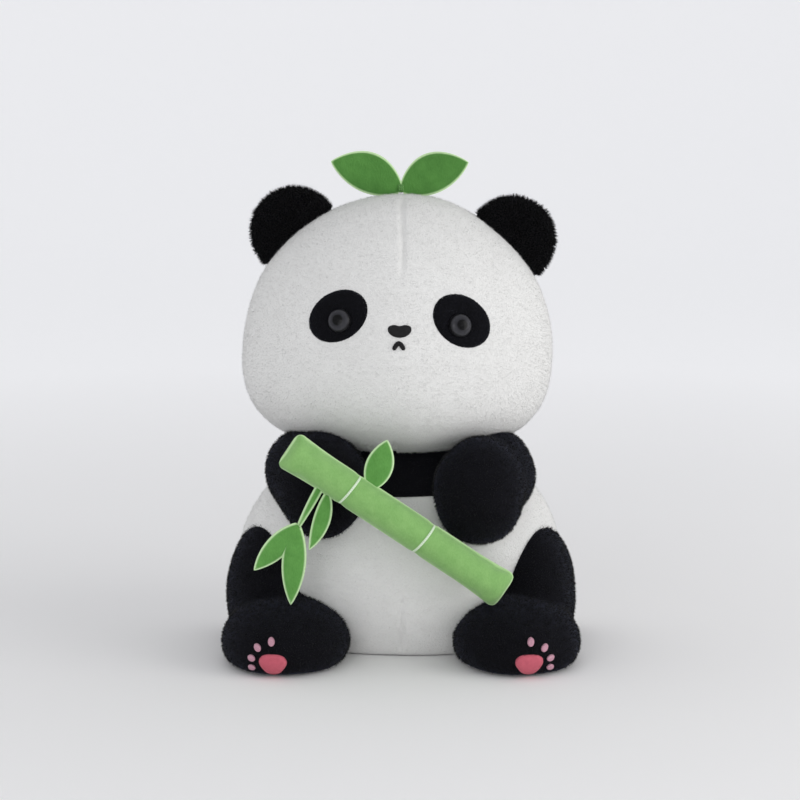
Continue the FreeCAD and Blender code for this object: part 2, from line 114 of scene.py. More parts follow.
# %% [markdown]
# ## The camera
# A long lens looks from a little above the toy, so that the face is barely foreshortened.

# %% Camera
camera_distance = 1.2
camera_height = 8.0
camera_target = np.array([-0.0005, 0, 0.122])
camera = bpy.data.objects.new("camera", bpy.data.cameras.new("camera"))
bpy.context.scene.collection.objects.link(camera)
camera.data.sensor_width = 36.0
camera.data.lens = 103.8
rise = math.radians(camera_height)
camera.location = camera_target + camera_distance * np.array([0, -math.cos(rise), math.sin(rise)])
camera.rotation_euler = (math.pi / 2 - rise, 0, 0)
bpy.context.scene.camera = camera
print("camera at", [round(v, 2) for v in camera.location], "m")

# %% [markdown]
# ## Soft studio light
# A large key lamp from the right and above, a fill low in front on the left, and a pale room
# that lights the toy from all sides, as a white bedroom does. The lamps themselves can't be
# seen by the camera, so that no bright square shows behind the toy.

# %% Lights, floor and room


def lamp(name, place, size, power, colour):
    """A square lamp that faces the middle of the toy."""
    light = bpy.data.lights.new(name, "AREA")
    light.size = size
    light.energy = power
    light.color = colour
    obj = bpy.data.objects.new(name, light)
    bpy.context.scene.collection.objects.link(obj)
    obj.location = place
    away = unit(np.array(place) - camera_target)
    obj.rotation_euler = (math.acos(away[2]), 0, math.atan2(away[1], away[0]) + math.pi / 2)
    obj.visible_camera = False
    return obj


lamp("key", (1.3, -0.55, 0.42), 1.0, 7.5, (1.0, 0.99, 0.97))
lamp("fill", (-0.5, -1.5, 0.38), 0.7, 3.2, (0.97, 0.98, 1.0))

room = bpy.data.worlds.new("room")
room.use_nodes = True
room.node_tree.nodes["Background"].inputs["Color"].default_value = (0.97, 0.98, 1.0, 1)
room.node_tree.nodes["Background"].inputs["Strength"].default_value = 0.68
bpy.context.scene.world = room
bpy.context.scene.view_settings.view_transform = "Standard"
print("lamps:", [light.name for light in bpy.data.lights])

# %% [markdown]
# ## Materials as arithmetic
# A material is a sum of patterns. The small class below lets a pattern be added, multiplied
# or subtracted in plain Python, and each operation becomes one Math node.

# %% Helpers for materials


class Wire:
    """A value on its way through a material. Arithmetic on it adds Math nodes."""

    def __init__(self, finish, socket):
        self.finish = finish
        self.socket = socket

    def math(self, operation, *values):
        inputs = dict(enumerate(values))
        return self.finish.node("ShaderNodeMath", {"operation": operation}, inputs)

    def __add__(self, other):
        return self.math("ADD", self, other)

    def __sub__(self, other):
        return self.math("SUBTRACT", self, other)

    def __mul__(self, other):
        return self.math("MULTIPLY", self, other)


class Finish:
    """One material: its shader's fixed values, and the nodes that feed the shader."""

    def __init__(self, name, **fixed):
        self.material = bpy.data.materials.new(name)
        self.material.use_nodes = True
        self.tree = self.material.node_tree
        self.shader = self.tree.nodes["Principled BSDF"]
        for socket, value in fixed.items():
            self.shader.inputs[socket.replace("_", " ")].default_value = value

    def node(self, kind, settings=None, inputs=None, output=0):
        """Adds a node: its settings first, then the values or wires of its sockets."""
        node = self.tree.nodes.new(kind)
        for key, value in (settings or {}).items():
            if key == "stops":
                self.set_stops(node.color_ramp, value)
            else:
                setattr(node, key, value)
        for key, value in (inputs or {}).items():
            if isinstance(value, Wire):
                self.tree.links.new(value.socket, node.inputs[key])
            else:
                node.inputs[key].default_value = value
        return Wire(self, node.outputs[output])

    def set_stops(self, ramp, stops):
        while len(ramp.elements) < len(stops):
            ramp.elements.new(1.0)
        for element, (place, colour) in zip(ramp.elements, stops):
            element.position = place
            element.color = colour

    def place(self):
        return self.node("ShaderNodeTexCoord", output="Object")

    def noise(self, size, detail=2.0, stretch=(1, 1, 1)):
        """Noise whose lumps are about size metres across, between 0 and 1."""
        where = self.node("ShaderNodeMapping", None, {"Vector": self.place(), "Scale": stretch})
        return self.node("ShaderNodeTexNoise", None,
                         {"Vector": where, "Scale": 1 / size, "Detail": detail})

    def attribute(self, name):
        return self.node("ShaderNodeAttribute", {"attribute_name": name}, output="Fac")

    def ramp(self, value, *stops):
        return self.node("ShaderNodeValToRGB", {"stops": stops}, {"Fac": value})

    def mix(self, first, second, share):
        """A blend of two colours."""
        return self.node("ShaderNodeMix", {"data_type": "RGBA"},
                         {"Factor": share, 6: first, 7: second}, output=2)

    def feed(self, **wires):
        for socket, wire in wires.items():
            self.tree.links.new(wire.socket, self.shader.inputs[socket.replace("_", " ")])
        return self

    def bump(self, height, depth, strength=1.0):
        """Lets a pattern of height stand out of the surface by depth metres."""
        raised = self.node("ShaderNodeBump", None,
                           {"Height": height, "Distance": depth, "Strength": strength})
        return self.feed(Normal=raised)


def srgb(red, green, blue, alpha=1.0):
    """A colour as a screen shows it, 0 to 255, turned into light."""
    shown = np.array([red, green, blue]) / 255
    light = np.where(shown <= 0.04045, shown / 12.92, ((shown + 0.055) / 1.055) ** 2.4)
    return (*[float(v) for v in light], alpha)


# %% [markdown]
# ## The pile fabrics
# Plush is a knitted ground with a dense pile that stands on it. Light falls into the pile, so
# the cloth is quite matt, with a soft bright edge where it turns away: that is the sheen.
# The ground's colour wanders a little, as the pile is brushed this way and that.

# %% White and black plush


def plush(name, dark, light, sheen, tint, pile_size=0.9 * mm):
    """Pile fabric between two shades: brushed patches, and a fine grain of fibre ends."""
    finish = Finish(name, Roughness=0.95, Sheen_Weight=sheen, Sheen_Roughness=0.4,
                    Sheen_Tint=tint, Specular_IOR_Level=0.15)
    brushed = finish.noise(14 * mm, 3.0)
    grain = finish.noise(pile_size, 2.0)
    shade = brushed * 0.45 + grain * 0.55
    finish.feed(Base_Color=finish.mix(dark, light, shade))
    return finish.bump(grain + brushed * 0.3, 0.5 * mm, 0.55).material


def strands(name, *shades, sheen=0.2):
    """Plain shades for the single fibres of a pile, picked at random fibre by fibre."""
    return [Finish(f"{name}_{i}", Base_Color=shade, Roughness=0.95, Sheen_Weight=sheen,
                   Specular_IOR_Level=0.1).material for i, shade in enumerate(shades)]


white_plush = plush("white_plush", srgb(215, 214, 212), srgb(233, 233, 231), 0.1, (1, 1, 1, 1))
black_plush = plush("black_plush", srgb(4, 4, 6), srgb(15, 15, 21), 0.12,
                    (0.42, 0.48, 0.8, 1))
white_strands = strands("white_strand", srgb(229, 229, 228), srgb(223, 222, 220),
                        srgb(233, 233, 232), sheen=0.1)
black_strands = strands("black_strand", srgb(7, 7, 10), srgb(15, 15, 21), srgb(4, 4, 5),
                        sheen=0.08)
shag_strands = strands("shag_strand", srgb(6, 6, 8), srgb(17, 17, 20), srgb(3, 3, 4), sheen=0.08)
print("fibre shades:", len(white_strands + black_strands + shag_strands))

# %% [markdown]
# ## Felt, thread, plastic
# Felt is pressed fibre, so it gets two sizes of noise and no direction. Its cut edge shows
# undyed fibre: a value painted on the mesh, 1 at the edge, blends in the paler colour.
# Satin thread shines along its strands, so its bump is a wave across the stitches, and its colour follows
# the same wave: a painted shine on each thread and painted shade between threads.

# %% Felt and thread


def felt(name, dark, light, edge):
    """Pressed felt with a pale cut edge where the mesh's rim value is high."""
    finish = Finish(name, Roughness=0.92, Sheen_Weight=0.35, Sheen_Roughness=0.5,
                    Sheen_Tint=(0.75, 0.95, 0.7, 1), Specular_IOR_Level=0.2)
    matted = finish.noise(5 * mm, 4.0)
    fibre = finish.noise(0.55 * mm, 3.0, (1, 1, 0.45))
    cloth = finish.mix(dark, light, matted * 0.55 + fibre * 0.5)
    rim = finish.attribute("rim") * (fibre * 0.5 + 0.72)
    finish.feed(Base_Color=finish.mix(cloth, edge, rim))
    return finish.bump(fibre + matted * 0.5, 0.35 * mm, 0.7).material


def satin(name, dark, light):
    """Embroidery: the mesh's stitch value counts the threads that lie side by side, and each thread
    carries a painted shine in its colour, over an uneven tone.
    """
    finish = Finish(name, Roughness=0.6, Sheen_Weight=0.1, Specular_IOR_Level=0.2)
    turn = finish.attribute("stitch") * (2 * math.pi)
    thread = turn.math("SINE", turn) * 0.5 + 0.5
    uneven = finish.noise(1.6 * mm, 2.0)
    # Painted shine and shade: the wave lightens each thread's middle and darkens the gaps between
    # threads; the noise is the thread's own uneven tone.
    finish.feed(Base_Color=finish.mix(dark, light, thread * 0.55 + uneven * 0.45))
    return finish.bump(thread + uneven * 0.4, 0.25 * mm, 0.8).material


sprout_felt = felt("sprout_felt", srgb(52, 102, 38), srgb(92, 148, 70), srgb(196, 226, 172))
leaf_felt = felt("leaf_felt", srgb(64, 120, 48), srgb(110, 170, 86), srgb(200, 230, 178))
bamboo_felt = felt("bamboo_felt", srgb(104, 154, 80), srgb(152, 197, 122), srgb(198, 230, 172))
black_satin = satin("black_satin", srgb(5, 5, 6), srgb(22, 22, 25))
pink_satin = satin("pink_satin", srgb(174, 66, 82), srgb(234, 120, 138))
pale_satin = satin("pale_satin", srgb(176, 116, 136), srgb(224, 178, 194))
pale_thread = satin("pale_thread", srgb(196, 226, 184), srgb(240, 252, 232))
green_thread = satin("green_thread", srgb(70, 120, 56), srgb(112, 166, 90))
white_thread = satin("white_thread", srgb(214, 214, 210), srgb(240, 240, 238))
print("felts and threads, with their tree sizes:",
      {m.name: len(m.node_tree.nodes) for m in (leaf_felt, bamboo_felt, black_satin, pink_satin)})

# %% [markdown]
# ## The eyes' plastic
# A safety eye is one glossy moulding: a black pupil, a smoky grey ring and a black rim seen
# through a clear skin. The mesh carries each point's share of the radius, and a colour ramp
# turns that share into rings. A coat on top keeps the highlights sharp.

# %% Eye plastic and the hidden materials


def eye_plastic():
    finish = Finish("eye_plastic", Roughness=0.3, Coat_Weight=0.1, Coat_Roughness=0.03,
                    Specular_IOR_Level=0.1)
    cloud = finish.noise(1.2 * mm, 2.0)
    share = finish.attribute("radius") + (cloud - 0.5) * 0.04
    rings = finish.ramp(share, (0.0, srgb(3, 3, 4)), (0.4, srgb(5, 5, 6)),
                        (0.5, srgb(44, 44, 48)), (0.8, srgb(58, 58, 62)), (0.92, srgb(24, 24, 26)))
    return finish.feed(Base_Color=rings).material


def mottled(name, dark, light, size, roughness=0.9):
    """A plain matt material with soft blotches, for the pieces inside."""
    finish = Finish(name, Roughness=roughness)
    blotch = finish.noise(size, 3.0)
    finish.feed(Base_Color=finish.mix(dark, light, blotch))
    return finish.bump(blotch, 0.5 * mm, 0.6).material


eye_gloss = eye_plastic()
fibre_fill = mottled("fibre_fill", srgb(228, 228, 222), srgb(250, 250, 248), 3 * mm)
pellet_cloth = mottled("pellet_cloth", srgb(200, 198, 190), srgb(226, 224, 216), 1.5 * mm)
washer_plastic = mottled("washer_plastic", srgb(196, 198, 200), srgb(214, 216, 218), 6 * mm, 0.45)

inside = {"pellet_pouch": pellet_cloth, "neck_stitching": white_thread,
          "eye_washer_left": washer_plastic, "eye_washer_right": washer_plastic}
for node_name, node_object in frame["nodes"].items():
    if node_name in inside or node_name.endswith("stuffing"):
        node_object.data.materials.clear()
        node_object.data.materials.append(inside.get(node_name, fibre_fill))
print("materials:", len(bpy.data.materials))

# %% [markdown]
# ## Meshes from arrays
# A soft toy's panels are smooth, so each is a formula on a grid of two numbers. A ball made
# from six square grids has no poles and nearly equal faces, which cloth simulation likes.

# %% Grid helpers


def ball_grid(steps):
    """Unit directions and square faces of a cube blown up into a ball.

    Each side of the cube is a grid of two angles, spread evenly by their tangents, and
    the points that neighbouring sides share are merged.
    """
    step = np.arange(steps + 1)
    even = np.tan((step / steps * 2 - 1) * math.pi / 4)
    u, v = np.meshgrid(step, step, indexing="ij")
    number = np.arange((steps + 1) ** 2).reshape(steps + 1, steps + 1)
    square = np.stack([number[:-1, :-1], number[1:, :-1], number[1:, 1:], number[:-1, 1:]], -1)
    square = square.reshape(-1, 4)
    lattices, faces = [], []
    for axis in range(3):
        for end in (0, steps):
            lattice = np.empty((steps + 1, steps + 1, 3), int)
            lattice[..., axis] = end
            lattice[..., (axis + 1) % 3] = u
            lattice[..., (axis + 2) % 3] = v
            first = len(lattices) * number.size
            faces.append((square if end else square[:, ::-1]) + first)
            lattices.append(lattice.reshape(-1, 3))
    corners, shared = np.unique(np.concatenate(lattices), axis=0, return_inverse=True)
    return unit(even[corners]), shared.reshape(-1)[np.concatenate(faces)]


def tube_faces(rows, columns, close_rows=False):
    """Square faces of a grid whose columns run round: faces of a tube, ends left open."""
    row = np.arange(rows if close_rows else rows - 1)[:, None]
    column = np.arange(columns)[None, :]
    after = (row + 1) % rows
    beside = (column + 1) % columns
    return np.stack([row * columns + column, row * columns + beside,
                     after * columns + beside, after * columns + column], -1).reshape(-1, 4)


def make_piece(name, points, faces, *finishes):
    """A smooth-shaded mesh object from arrays of points and faces of one size."""
    mesh = bpy.data.meshes.new(name)
    mesh.vertices.add(len(points))
    mesh.vertices.foreach_set("co", np.asarray(points, np.float32).ravel())
    mesh.loops.add(faces.size)
    mesh.loops.foreach_set("vertex_index", faces.astype(np.int32).ravel())
    mesh.polygons.add(len(faces))
    mesh.polygons.foreach_set("loop_start", np.arange(len(faces), dtype=np.int32) * faces.shape[1])
    mesh.polygons.foreach_set("use_smooth", np.ones(len(faces), bool))
    for finish in finishes:
        mesh.materials.append(finish)
    mesh.update(calc_edges=True)
    mesh.validate()
    piece = bpy.data.objects.new(name, mesh)
    bpy.context.scene.collection.objects.link(piece)
    return piece


def points_of(piece):
    points = np.empty(len(piece.data.vertices) * 3, np.float32)
    piece.data.vertices.foreach_get("co", points)
    return points.reshape(-1, 3).astype(float)


def normals_of(piece):
    normals = np.empty(len(piece.data.vertices) * 3, np.float32)
    piece.data.vertices.foreach_get("normal", normals)
    return normals.reshape(-1, 3).astype(float)


def set_points(piece, points):
    piece.data.vertices.foreach_set("co", np.asarray(points, np.float32).ravel())
    piece.data.update()


def paint(piece, name, values):
    """Stores one number per point, for a material to read."""
    attribute = piece.data.attributes.new(name, "FLOAT", "POINT")
    attribute.data.foreach_set("value", np.asarray(values, np.float32).ravel())


def evaluated(piece):
    """A plain copy of the mesh with its modifiers applied."""
    graph = bpy.context.evaluated_depsgraph_get()
    return bpy.data.meshes.new_from_object(piece.evaluated_get(graph), depsgraph=graph)


def refine(piece, levels):
    """Rounds a piece off by subdivision and keeps the result as its mesh."""
    modifier = piece.modifiers.new("rounding", "SUBSURF")
    modifier.levels = modifier.render_levels = levels
    rounded = evaluated(piece)
    piece.modifiers.clear()
    piece.data = rounded
    return piece


# %% [markdown]
# ## Stuffing a cover
# Real covers are sewn flat and filled until the cloth is tight. Here the cover is blown out
# with Blender's Cloth: a pressure from inside, no gravity, and the seams held still, so that
# the cloth swells between them. How far a point may move is capped.

# %% Cloth and other soft-shape helpers
sim_frames = 20


def stuff(piece, held, pressure=4.0, give=3 * mm):
    """Swells a cover between its held points. held is one True or False per point."""
    start = points_of(piece)
    group = piece.vertex_groups.new(name="held")
    group.add([int(i) for i in np.flatnonzero(held)], 1.0, "REPLACE")
    cloth = piece.modifiers.new("filling", "CLOTH")
    cloth.settings.use_pressure = True
    cloth.settings.uniform_pressure_force = pressure
    cloth.settings.vertex_group_mass = "held"
    cloth.settings.effector_weights.gravity = 0
    cloth.settings.tension_stiffness = 25
    cloth.settings.bending_stiffness = 1.0
    cloth.point_cache.frame_start = 1
    cloth.point_cache.frame_end = sim_frames
    for step in range(1, sim_frames + 1):
        bpy.context.scene.frame_set(step)
    swollen = evaluated(piece)
    points = np.empty(len(swollen.vertices) * 3, np.float32)
    swollen.vertices.foreach_get("co", points)
    moved = points.reshape(-1, 3) - start
    distance = np.linalg.norm(moved, axis=1, keepdims=True)
    moved *= np.minimum(1, give / np.maximum(distance, 1e-9))
    piece.modifiers.clear()
    piece.vertex_groups.clear()
    bpy.context.scene.frame_set(1)
    set_points(piece, start + moved)
    print(f"{piece.name}: swelled {distance.max() / mm:.1f} mm at most, capped at {give / mm:.1f}")
    return piece


def ripples(points, size, seed, waves=7):
    """Soft lumps between about -1 and 1: a sum of waves in random directions."""
    draw = np.random.default_rng(seed)
    directions = unit(draw.normal(size=(waves, 3))) * 2 * math.pi / size
    directions *= draw.uniform(0.7, 1.4, (waves, 1))
    phases = draw.uniform(0, 2 * math.pi, waves)
    return np.sin(points @ directions.T + phases).sum(1) / math.sqrt(waves)


def valley(distance, width):
    """1 in the middle of a seam, falling to 0 at both sides."""
    return np.exp(-((distance / width) ** 2))


def step_up(value, low, high):
    """A smooth step from 0 at low to 1 at high."""
    share = np.clip((value - low) / (high - low), 0, 1)
    return share * share * (3 - 2 * share)


def superball(directions, wide, deep, up, down, above=2.0, below=2.0):
    """A ball with its own half sizes, squarer above or below as the powers rise from 2."""
    level = np.hypot(directions[:, 0], directions[:, 1])
    height = directions[:, 2]
    tall = np.where(height > 0, up, down)
    power = np.where(height > 0, above, below)
    reach = ((level / wide) ** power + (np.abs(height) / tall) ** power) ** (-1 / power)
    return directions * reach[:, None] * np.array([1, deep / wide, 1])


def push_out(points, middle, halves, gap):
    """Moves points that are inside an ellipsoid out to just above its surface."""
    halves = np.asarray(halves) + gap
    from_middle = points - middle
    depth = np.linalg.norm(from_middle / halves, axis=1, keepdims=True)
    return np.where(depth < 1, middle + from_middle / np.maximum(depth, 1e-6), points)


def blob(directions, middle, lobes, softness):
    """The skin round several ellipsoids, seen from a point that is inside them all.

    Along each direction the distance to every ellipsoid's far side is found from its
    quadratic, and the distances are blended by a soft maximum.
    """
    reaches = []
    for centre, halves, pitch in lobes:
        turn = math.radians(pitch)
        rotate = np.array([[1, 0, 0], [0, math.cos(turn), math.sin(turn)],
                           [0, -math.sin(turn), math.cos(turn)]])
        to_ball = rotate / np.asarray(halves)[:, None]
        start = to_ball @ (middle - centre)
        way = directions @ to_ball.T
        a = (way**2).sum(1)
        b = way @ start
        c = start @ start - 1
        reaches.append((-b + np.sqrt(np.maximum(b * b - a * c, 0))) / a)
    reaches = np.array(reaches)
    top = reaches.max(0)
    blend = top + softness * np.log(np.exp((reaches - top) / softness).sum(0))
    return middle + directions * blend[:, None]


# %% [markdown]
# ## The pile
# Up close the pile is thousands of tufts. Each tuft here is a spike of four faces, planted
# on the cover at random but evenly, combed a little downwards, and one of three shades. The
# tufts make the soft outline that no bump map can give.

# %% Tufts


def pile(name, ground, count, length, width, shades, seed, comb=0.5, keep=None):
    """Plants spikes on a cover. keep takes points and says where tufts may stand."""
    draw = np.random.default_rng(seed)
    mesh = ground.data
    mesh.calc_loop_triangles()
    corners = np.empty(len(mesh.loop_triangles) * 3, np.int32)
    mesh.loop_triangles.foreach_get("vertices", corners)
    triangles = points_of(ground)[corners.reshape(-1, 3)]
    across = np.cross(triangles[:, 1] - triangles[:, 0], triangles[:, 2] - triangles[:, 0])
    area = np.linalg.norm(across, axis=1)
    if keep is not None:
        area = area * keep(triangles.mean(1))
    chosen = draw.choice(len(area), count, p=area / area.sum())
    first, second = draw.random((2, count, 1))
    folded = first + second > 1
    first, second = np.where(folded, 1 - first, first), np.where(folded, 1 - second, second)
    corner = triangles[chosen]
    root = (corner[:, 0] + first * (corner[:, 1] - corner[:, 0])
            + second * (corner[:, 2] - corner[:, 0]))
    out = unit(across[chosen])
    down = np.array([0, 0, -1.0]) - out * (out @ np.array([0, 0, -1.0]))[:, None]
    grow = unit(out + comb * down + draw.normal(scale=0.28, size=(count, 3)))
    side = unit(np.cross(grow, draw.normal(size=(count, 3))))
    other = np.cross(grow, side)
    size = length * draw.uniform(0.65, 1.25, (count, 1))
    base = root - out * 0.25 * mm
    half = width * draw.uniform(0.7, 1.2, (count, 1))
    spike = np.stack([base + side * half, base - side * half * 0.5 + other * half * 0.87,
                      base - side * half * 0.5 - other * half * 0.87, root + grow * size], 1)
    start = (np.arange(count) * 4)[:, None, None]
    faces = np.array([[0, 1, 3], [1, 2, 3], [2, 0, 3], [0, 2, 1]]) + start
    fur = make_piece(name, spike.reshape(-1, 3), faces.reshape(-1, 3), *shades)
    shade = np.repeat(draw.integers(0, len(shades), count), 4)
    fur.data.polygons.foreach_set("material_index", shade.astype(np.int32))
    print(f"{name}: {count} tufts")
    return fur


# %% [markdown]
# ## The head
# Three panels make a ball that is round above and flatter below, where it sits on the
# shoulders. The panels meet at a seam that runs over the head behind the eyes, the face has
# a dart from the crown and a short one under the chin, and the fabric sinks in a little
# round each eye, where the washer pulls it.

# %% Head cover
eye_places = {side: sum(span(f"eye_{side}")) / 2 for side in ("left", "right")}
dart_length = 44 * mm
seam_sink = 1.0 * mm
eye_sink, eye_sink_reach = 1.3 * mm, 15 * mm


def lean(points, back=False):
    """Leans points of the upright head to their place, or back again."""
    turn = -head_lean if back else head_lean
    rotate = np.array([[math.cos(turn), 0, -math.sin(turn)], [0, 1, 0],
                       [math.sin(turn), 0, math.cos(turn)]])
    if back:
        return (points - head_middle) @ rotate
    return points @ rotate + head_middle


def make_head():
    """The three white panels in one: a ball, squarer below, sunk in along seams and darts."""
    directions, faces = ball_grid(32)
    points = superball(directions, head_wide, head_deep, head_rise, head_drop, 2.05, 2.6)
    points += unit(points) * (ripples(points, 85 * mm, 3) * 0.7 * mm)[:, None]
    points = lean(points)
    points = push_out(points, torso_middle, (torso_wide, torso_deep, torso_tall), 1.6 * mm)
    head = make_piece("head_plush", points, faces, white_plush)
    local = lean(points, back=True)
    seam = (np.abs(local[:, 1]) < 3 * mm) | (local[:, 2] < -44 * mm)
    stuff(head, seam, give=1.2 * mm)
    refine(head, 2)
    points, normals = points_of(head), normals_of(head)
    local = lean(points, back=True)
    x, y, z = local.T
    front = step_up(-y, 0, 20 * mm)
    dart = valley(x - 0.6 * mm * np.sin(z / (7 * mm)), 1.3 * mm) * front
    dart *= step_up(z, head_rise - dart_length, head_rise - dart_length + 16 * mm)
    chin = valley(x, 1.4 * mm) * front * step_up(-z, 36 * mm, 44 * mm)
    round_seam = valley(y, 1.6 * mm)
    back_seam = valley(x, 1.5 * mm) * step_up(y, 10 * mm, 20 * mm)
    sink = 1.1 * mm * dart + 1.2 * mm * chin + seam_sink * (round_seam + back_seam)
    pucker = 0.25 * mm * np.sin(z / (2.1 * mm)) * valley(x, 5 * mm) * step_up(z, 40 * mm, 60 * mm)
    sink += pucker * front
    for place in eye_places.values():
        away = np.linalg.norm(points - place, axis=1)
        sink += eye_sink * valley(away, eye_sink_reach)
    set_points(head, points - normals * sink[:, None])
    return head


head = make_head()
print("head cover:", len(head.data.polygons), "faces")

# %% [markdown]
# ## Laying a piece on another
# Patches and embroidery follow the face. A flat grid is thrown at the cover with a
# Shrinkwrap modifier, its landing places are read back, and the piece is built up from them.

# %% Draping helper


def drape(points, target, along=(0, 1, 0)):
    """Where points land when they are moved along an axis until they meet a cover."""
    probe = make_piece("probe", points, np.array([[0, 1, 2]]))
    probe.data.clear_geometry()
    probe.data.from_pydata([tuple(p) for p in points.tolist()], [], [])
    wrap = probe.modifiers.new("wrap", "SHRINKWRAP")
    wrap.wrap_method = "PROJECT"
    wrap.target = target
    wrap.use_project_x, wrap.use_project_y, wrap.use_project_z = (abs(a) > 0.5 for a in along)
    wrap.use_positive_direction = sum(along) > 0
    wrap.use_negative_direction = sum(along) < 0
    landed = evaluated(probe)
    found = np.empty(len(landed.vertices) * 3, np.float32)
    landed.vertices.foreach_get("co", found)
    bpy.data.objects.remove(probe)
    return found.reshape(-1, 3).astype(float)


def disc_grid(rings, spokes):
    """Share of the radius and angle of every point of a disc: a centre, then rings."""
    share = np.repeat(np.arange(1, rings + 1) / rings, spokes)
    angle = np.tile(np.arange(spokes) / spokes * 2 * math.pi, rings)
    return share, angle


def raised_disc(name, outline, target, height, finish, rings=14, spokes=64, stitches=0.0,
                stitch_turn=0.0):
    """A low domed patch whose outline is a function of the angle, on a cover's front.

    The upper skin rises from the edge as a rounded step, and the under skin lies just
    inside the cover, so that the patch is closed.
    """
    share, angle = disc_grid(rings, spokes)
    edge = outline(angle)
    flat = np.stack([edge[:, 0] * share, np.full(len(share), -0.3), edge[:, 1] * share], 1)
    middle = outline(np.zeros(1), centre=True)
    flat = flat + middle
    landed = drape(flat, target)
    out = np.array([0, -1.0, 0])
    rise = height * (1 - share**6) ** 0.5
    upper = landed + out * rise[:, None]
    lower = landed - out * 0.4 * mm
    top = upper[:spokes].mean(0)
    bottom = lower[:spokes].mean(0)
    count = rings * spokes
    points = np.concatenate([upper, lower[::-1].reshape(rings, spokes, 3)[:, ::-1].reshape(-1, 3),
                             [top, bottom]])
    faces = tube_faces(2 * rings, spokes)
    spoke = np.arange(spokes)
    beside = (spoke + 1) % spokes
    last = (2 * rings - 1) * spokes
    cap = np.stack([np.full(spokes, 2 * count), spoke, beside, np.full(spokes, 2 * count)], 1)
    lid = np.stack([np.full(spokes, 2 * count + 1), last + beside, last + spoke,
                    np.full(spokes, 2 * count + 1)], 1)
    vertices = points.tolist()
    polygons = faces.tolist() + cap[:, :3][:, ::-1].tolist() + lid[:, :3][:, ::-1].tolist()
    mesh = bpy.data.meshes.new(name)
    mesh.from_pydata(vertices, [], polygons)
    mesh.materials.append(finish)
    mesh.polygons.foreach_set("use_smooth", np.ones(len(polygons), bool))
    piece = bpy.data.objects.new(name, mesh)
    bpy.context.scene.collection.objects.link(piece)
    turn = math.radians(stitch_turn)
    if stitches:
        along = points[:, 0] * math.cos(turn) + points[:, 2] * math.sin(turn)
        paint(piece, "stitch", along * stitches)
    return piece


# %% Eye patches


def oval(middle, half_long, half_wide, tilt):
    """An oval outline as a function of the angle, for raised_disc."""
    turn = math.radians(tilt)

    def outline(angle, centre=False):
        if centre:
            return np.array([middle[0], 0, middle[1]])
        long, wide = half_long * np.cos(angle), half_wide * np.sin(angle)
        return np.stack([long * math.cos(turn) - wide * math.sin(turn),
                         long * math.sin(turn) + wide * math.cos(turn)], 1)
    return outline


patch_long, patch_wide, patch_slant = 15.6 * mm, 11.6 * mm, 35
patches = {}
for side, sign in (("left", 1), ("right", -1)):
    low, high = span(f"eye_patch_{side}")
    patch_middle = ((low[0] + high[0]) / 2, (low[2] + high[2]) / 2)
    slant = -sign * patch_slant - math.degrees(head_lean)
    shape = oval(patch_middle, patch_long, patch_wide, slant)
    patch = raised_disc(f"eye_patch_plush_{side}", shape, head, 1.3 * mm, black_plush)
    patches[side] = patch
print("patches on the face:", list(patches))

# %% [markdown]
# ## Placing
# Every piece rides on a body of the frame, or is fixed where it stands when it has a bend,
# and the parts of the frame that it stands for are hidden.

# %% Fastening helper


def fasten(piece, body=None, stands_for=(), bend=None):
    """Places a finished piece on its body, or fixes it where it stands when it has a bend, and hides the
    parts that it replaces.
    """
    if stands_for:
        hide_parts(*stands_for)
    if bend:
        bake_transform(piece)
    else:
        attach(piece, body)
    return piece


def off_the_patches(points):
    """True where the face is bare: not under a patch, and not in the fold of the dart."""
    x, _, z = lean(points, back=True).T
    bare = (np.abs(x) > 0.9 * mm) | (z < head_rise - dart_length + 6 * mm)
    for side in ("left", "right"):
        low, high = span(f"eye_patch_{side}")
        middle, half = (low + high) / 2, (high - low) / 2
        across = (points[:, [0, 2]] - middle[[0, 2]]) / (half[[0, 2]] * 0.93)
        bare &= ((across**2).sum(1) > 1) | (points[:, 1] > 0)
    return bare


fasten(head, "head", ("face_panel", "head_back_left", "head_back_right"))
short_tuft, thin_tuft = 0.9 * mm, 0.13 * mm
face_pile = pile("face_pile", head, 40000, short_tuft, thin_tuft, white_strands, 11,
                 keep=lambda p: (p[:, 1] < 0) * off_the_patches(p) * 1.0)
back_pile = pile("head_back_pile", head, 30000, short_tuft, thin_tuft, white_strands, 12,
                 keep=lambda p: (p[:, 1] >= 0) * 1.0)
fasten(face_pile, "head")
fasten(back_pile, "head")
for side, patch in patches.items():
    fasten(patch, "head", (f"eye_patch_{side}",))
    fur = pile(f"eye_patch_pile_{side}", patch, 4000, short_tuft, 0.15 * mm, black_strands, 13)
    fasten(fur, "head")

# %% [markdown]
# ## The eyes
# The frame already has each eye with its shank and washer. The dome that shows is made
# again, so that it can carry the rings: a low cap spun round the eye's own axis.

# %% Eyes


def eye_axis(side):
    """The way an eye looks: out of the face, as the head's surface slopes there."""
    place = lean(eye_places[side][None, :], back=True)[0]
    slope = place / np.array([head_wide, head_deep, head_rise]) ** 2
    return unit(lean(unit(slope)[None, :])[0] - head_middle)


def spin(name, profile, place, axis, finish, turns=64):
    """Spins a profile of (radius, height) pairs round an axis; its ends stay open, nearly shut where the
    profile starts or ends at a tiny radius.
    """
    side = unit(np.cross(axis, [0, 0, 1.0] if abs(axis[2]) < 0.9 else [1.0, 0, 0]))
    other = np.cross(axis, side)
    angle = np.arange(turns) / turns * 2 * math.pi
    ring = np.cos(angle)[:, None] * side + np.sin(angle)[:, None] * other
    radius, height = np.array(profile).T
    points = place + radius[:, None, None] * ring + height[:, None, None] * axis
    rows = len(profile)
    faces = tube_faces(rows, turns)
    piece = make_piece(name, points.reshape(-1, 3), faces[:, ::-1], finish)
    return piece, np.repeat(radius, turns)


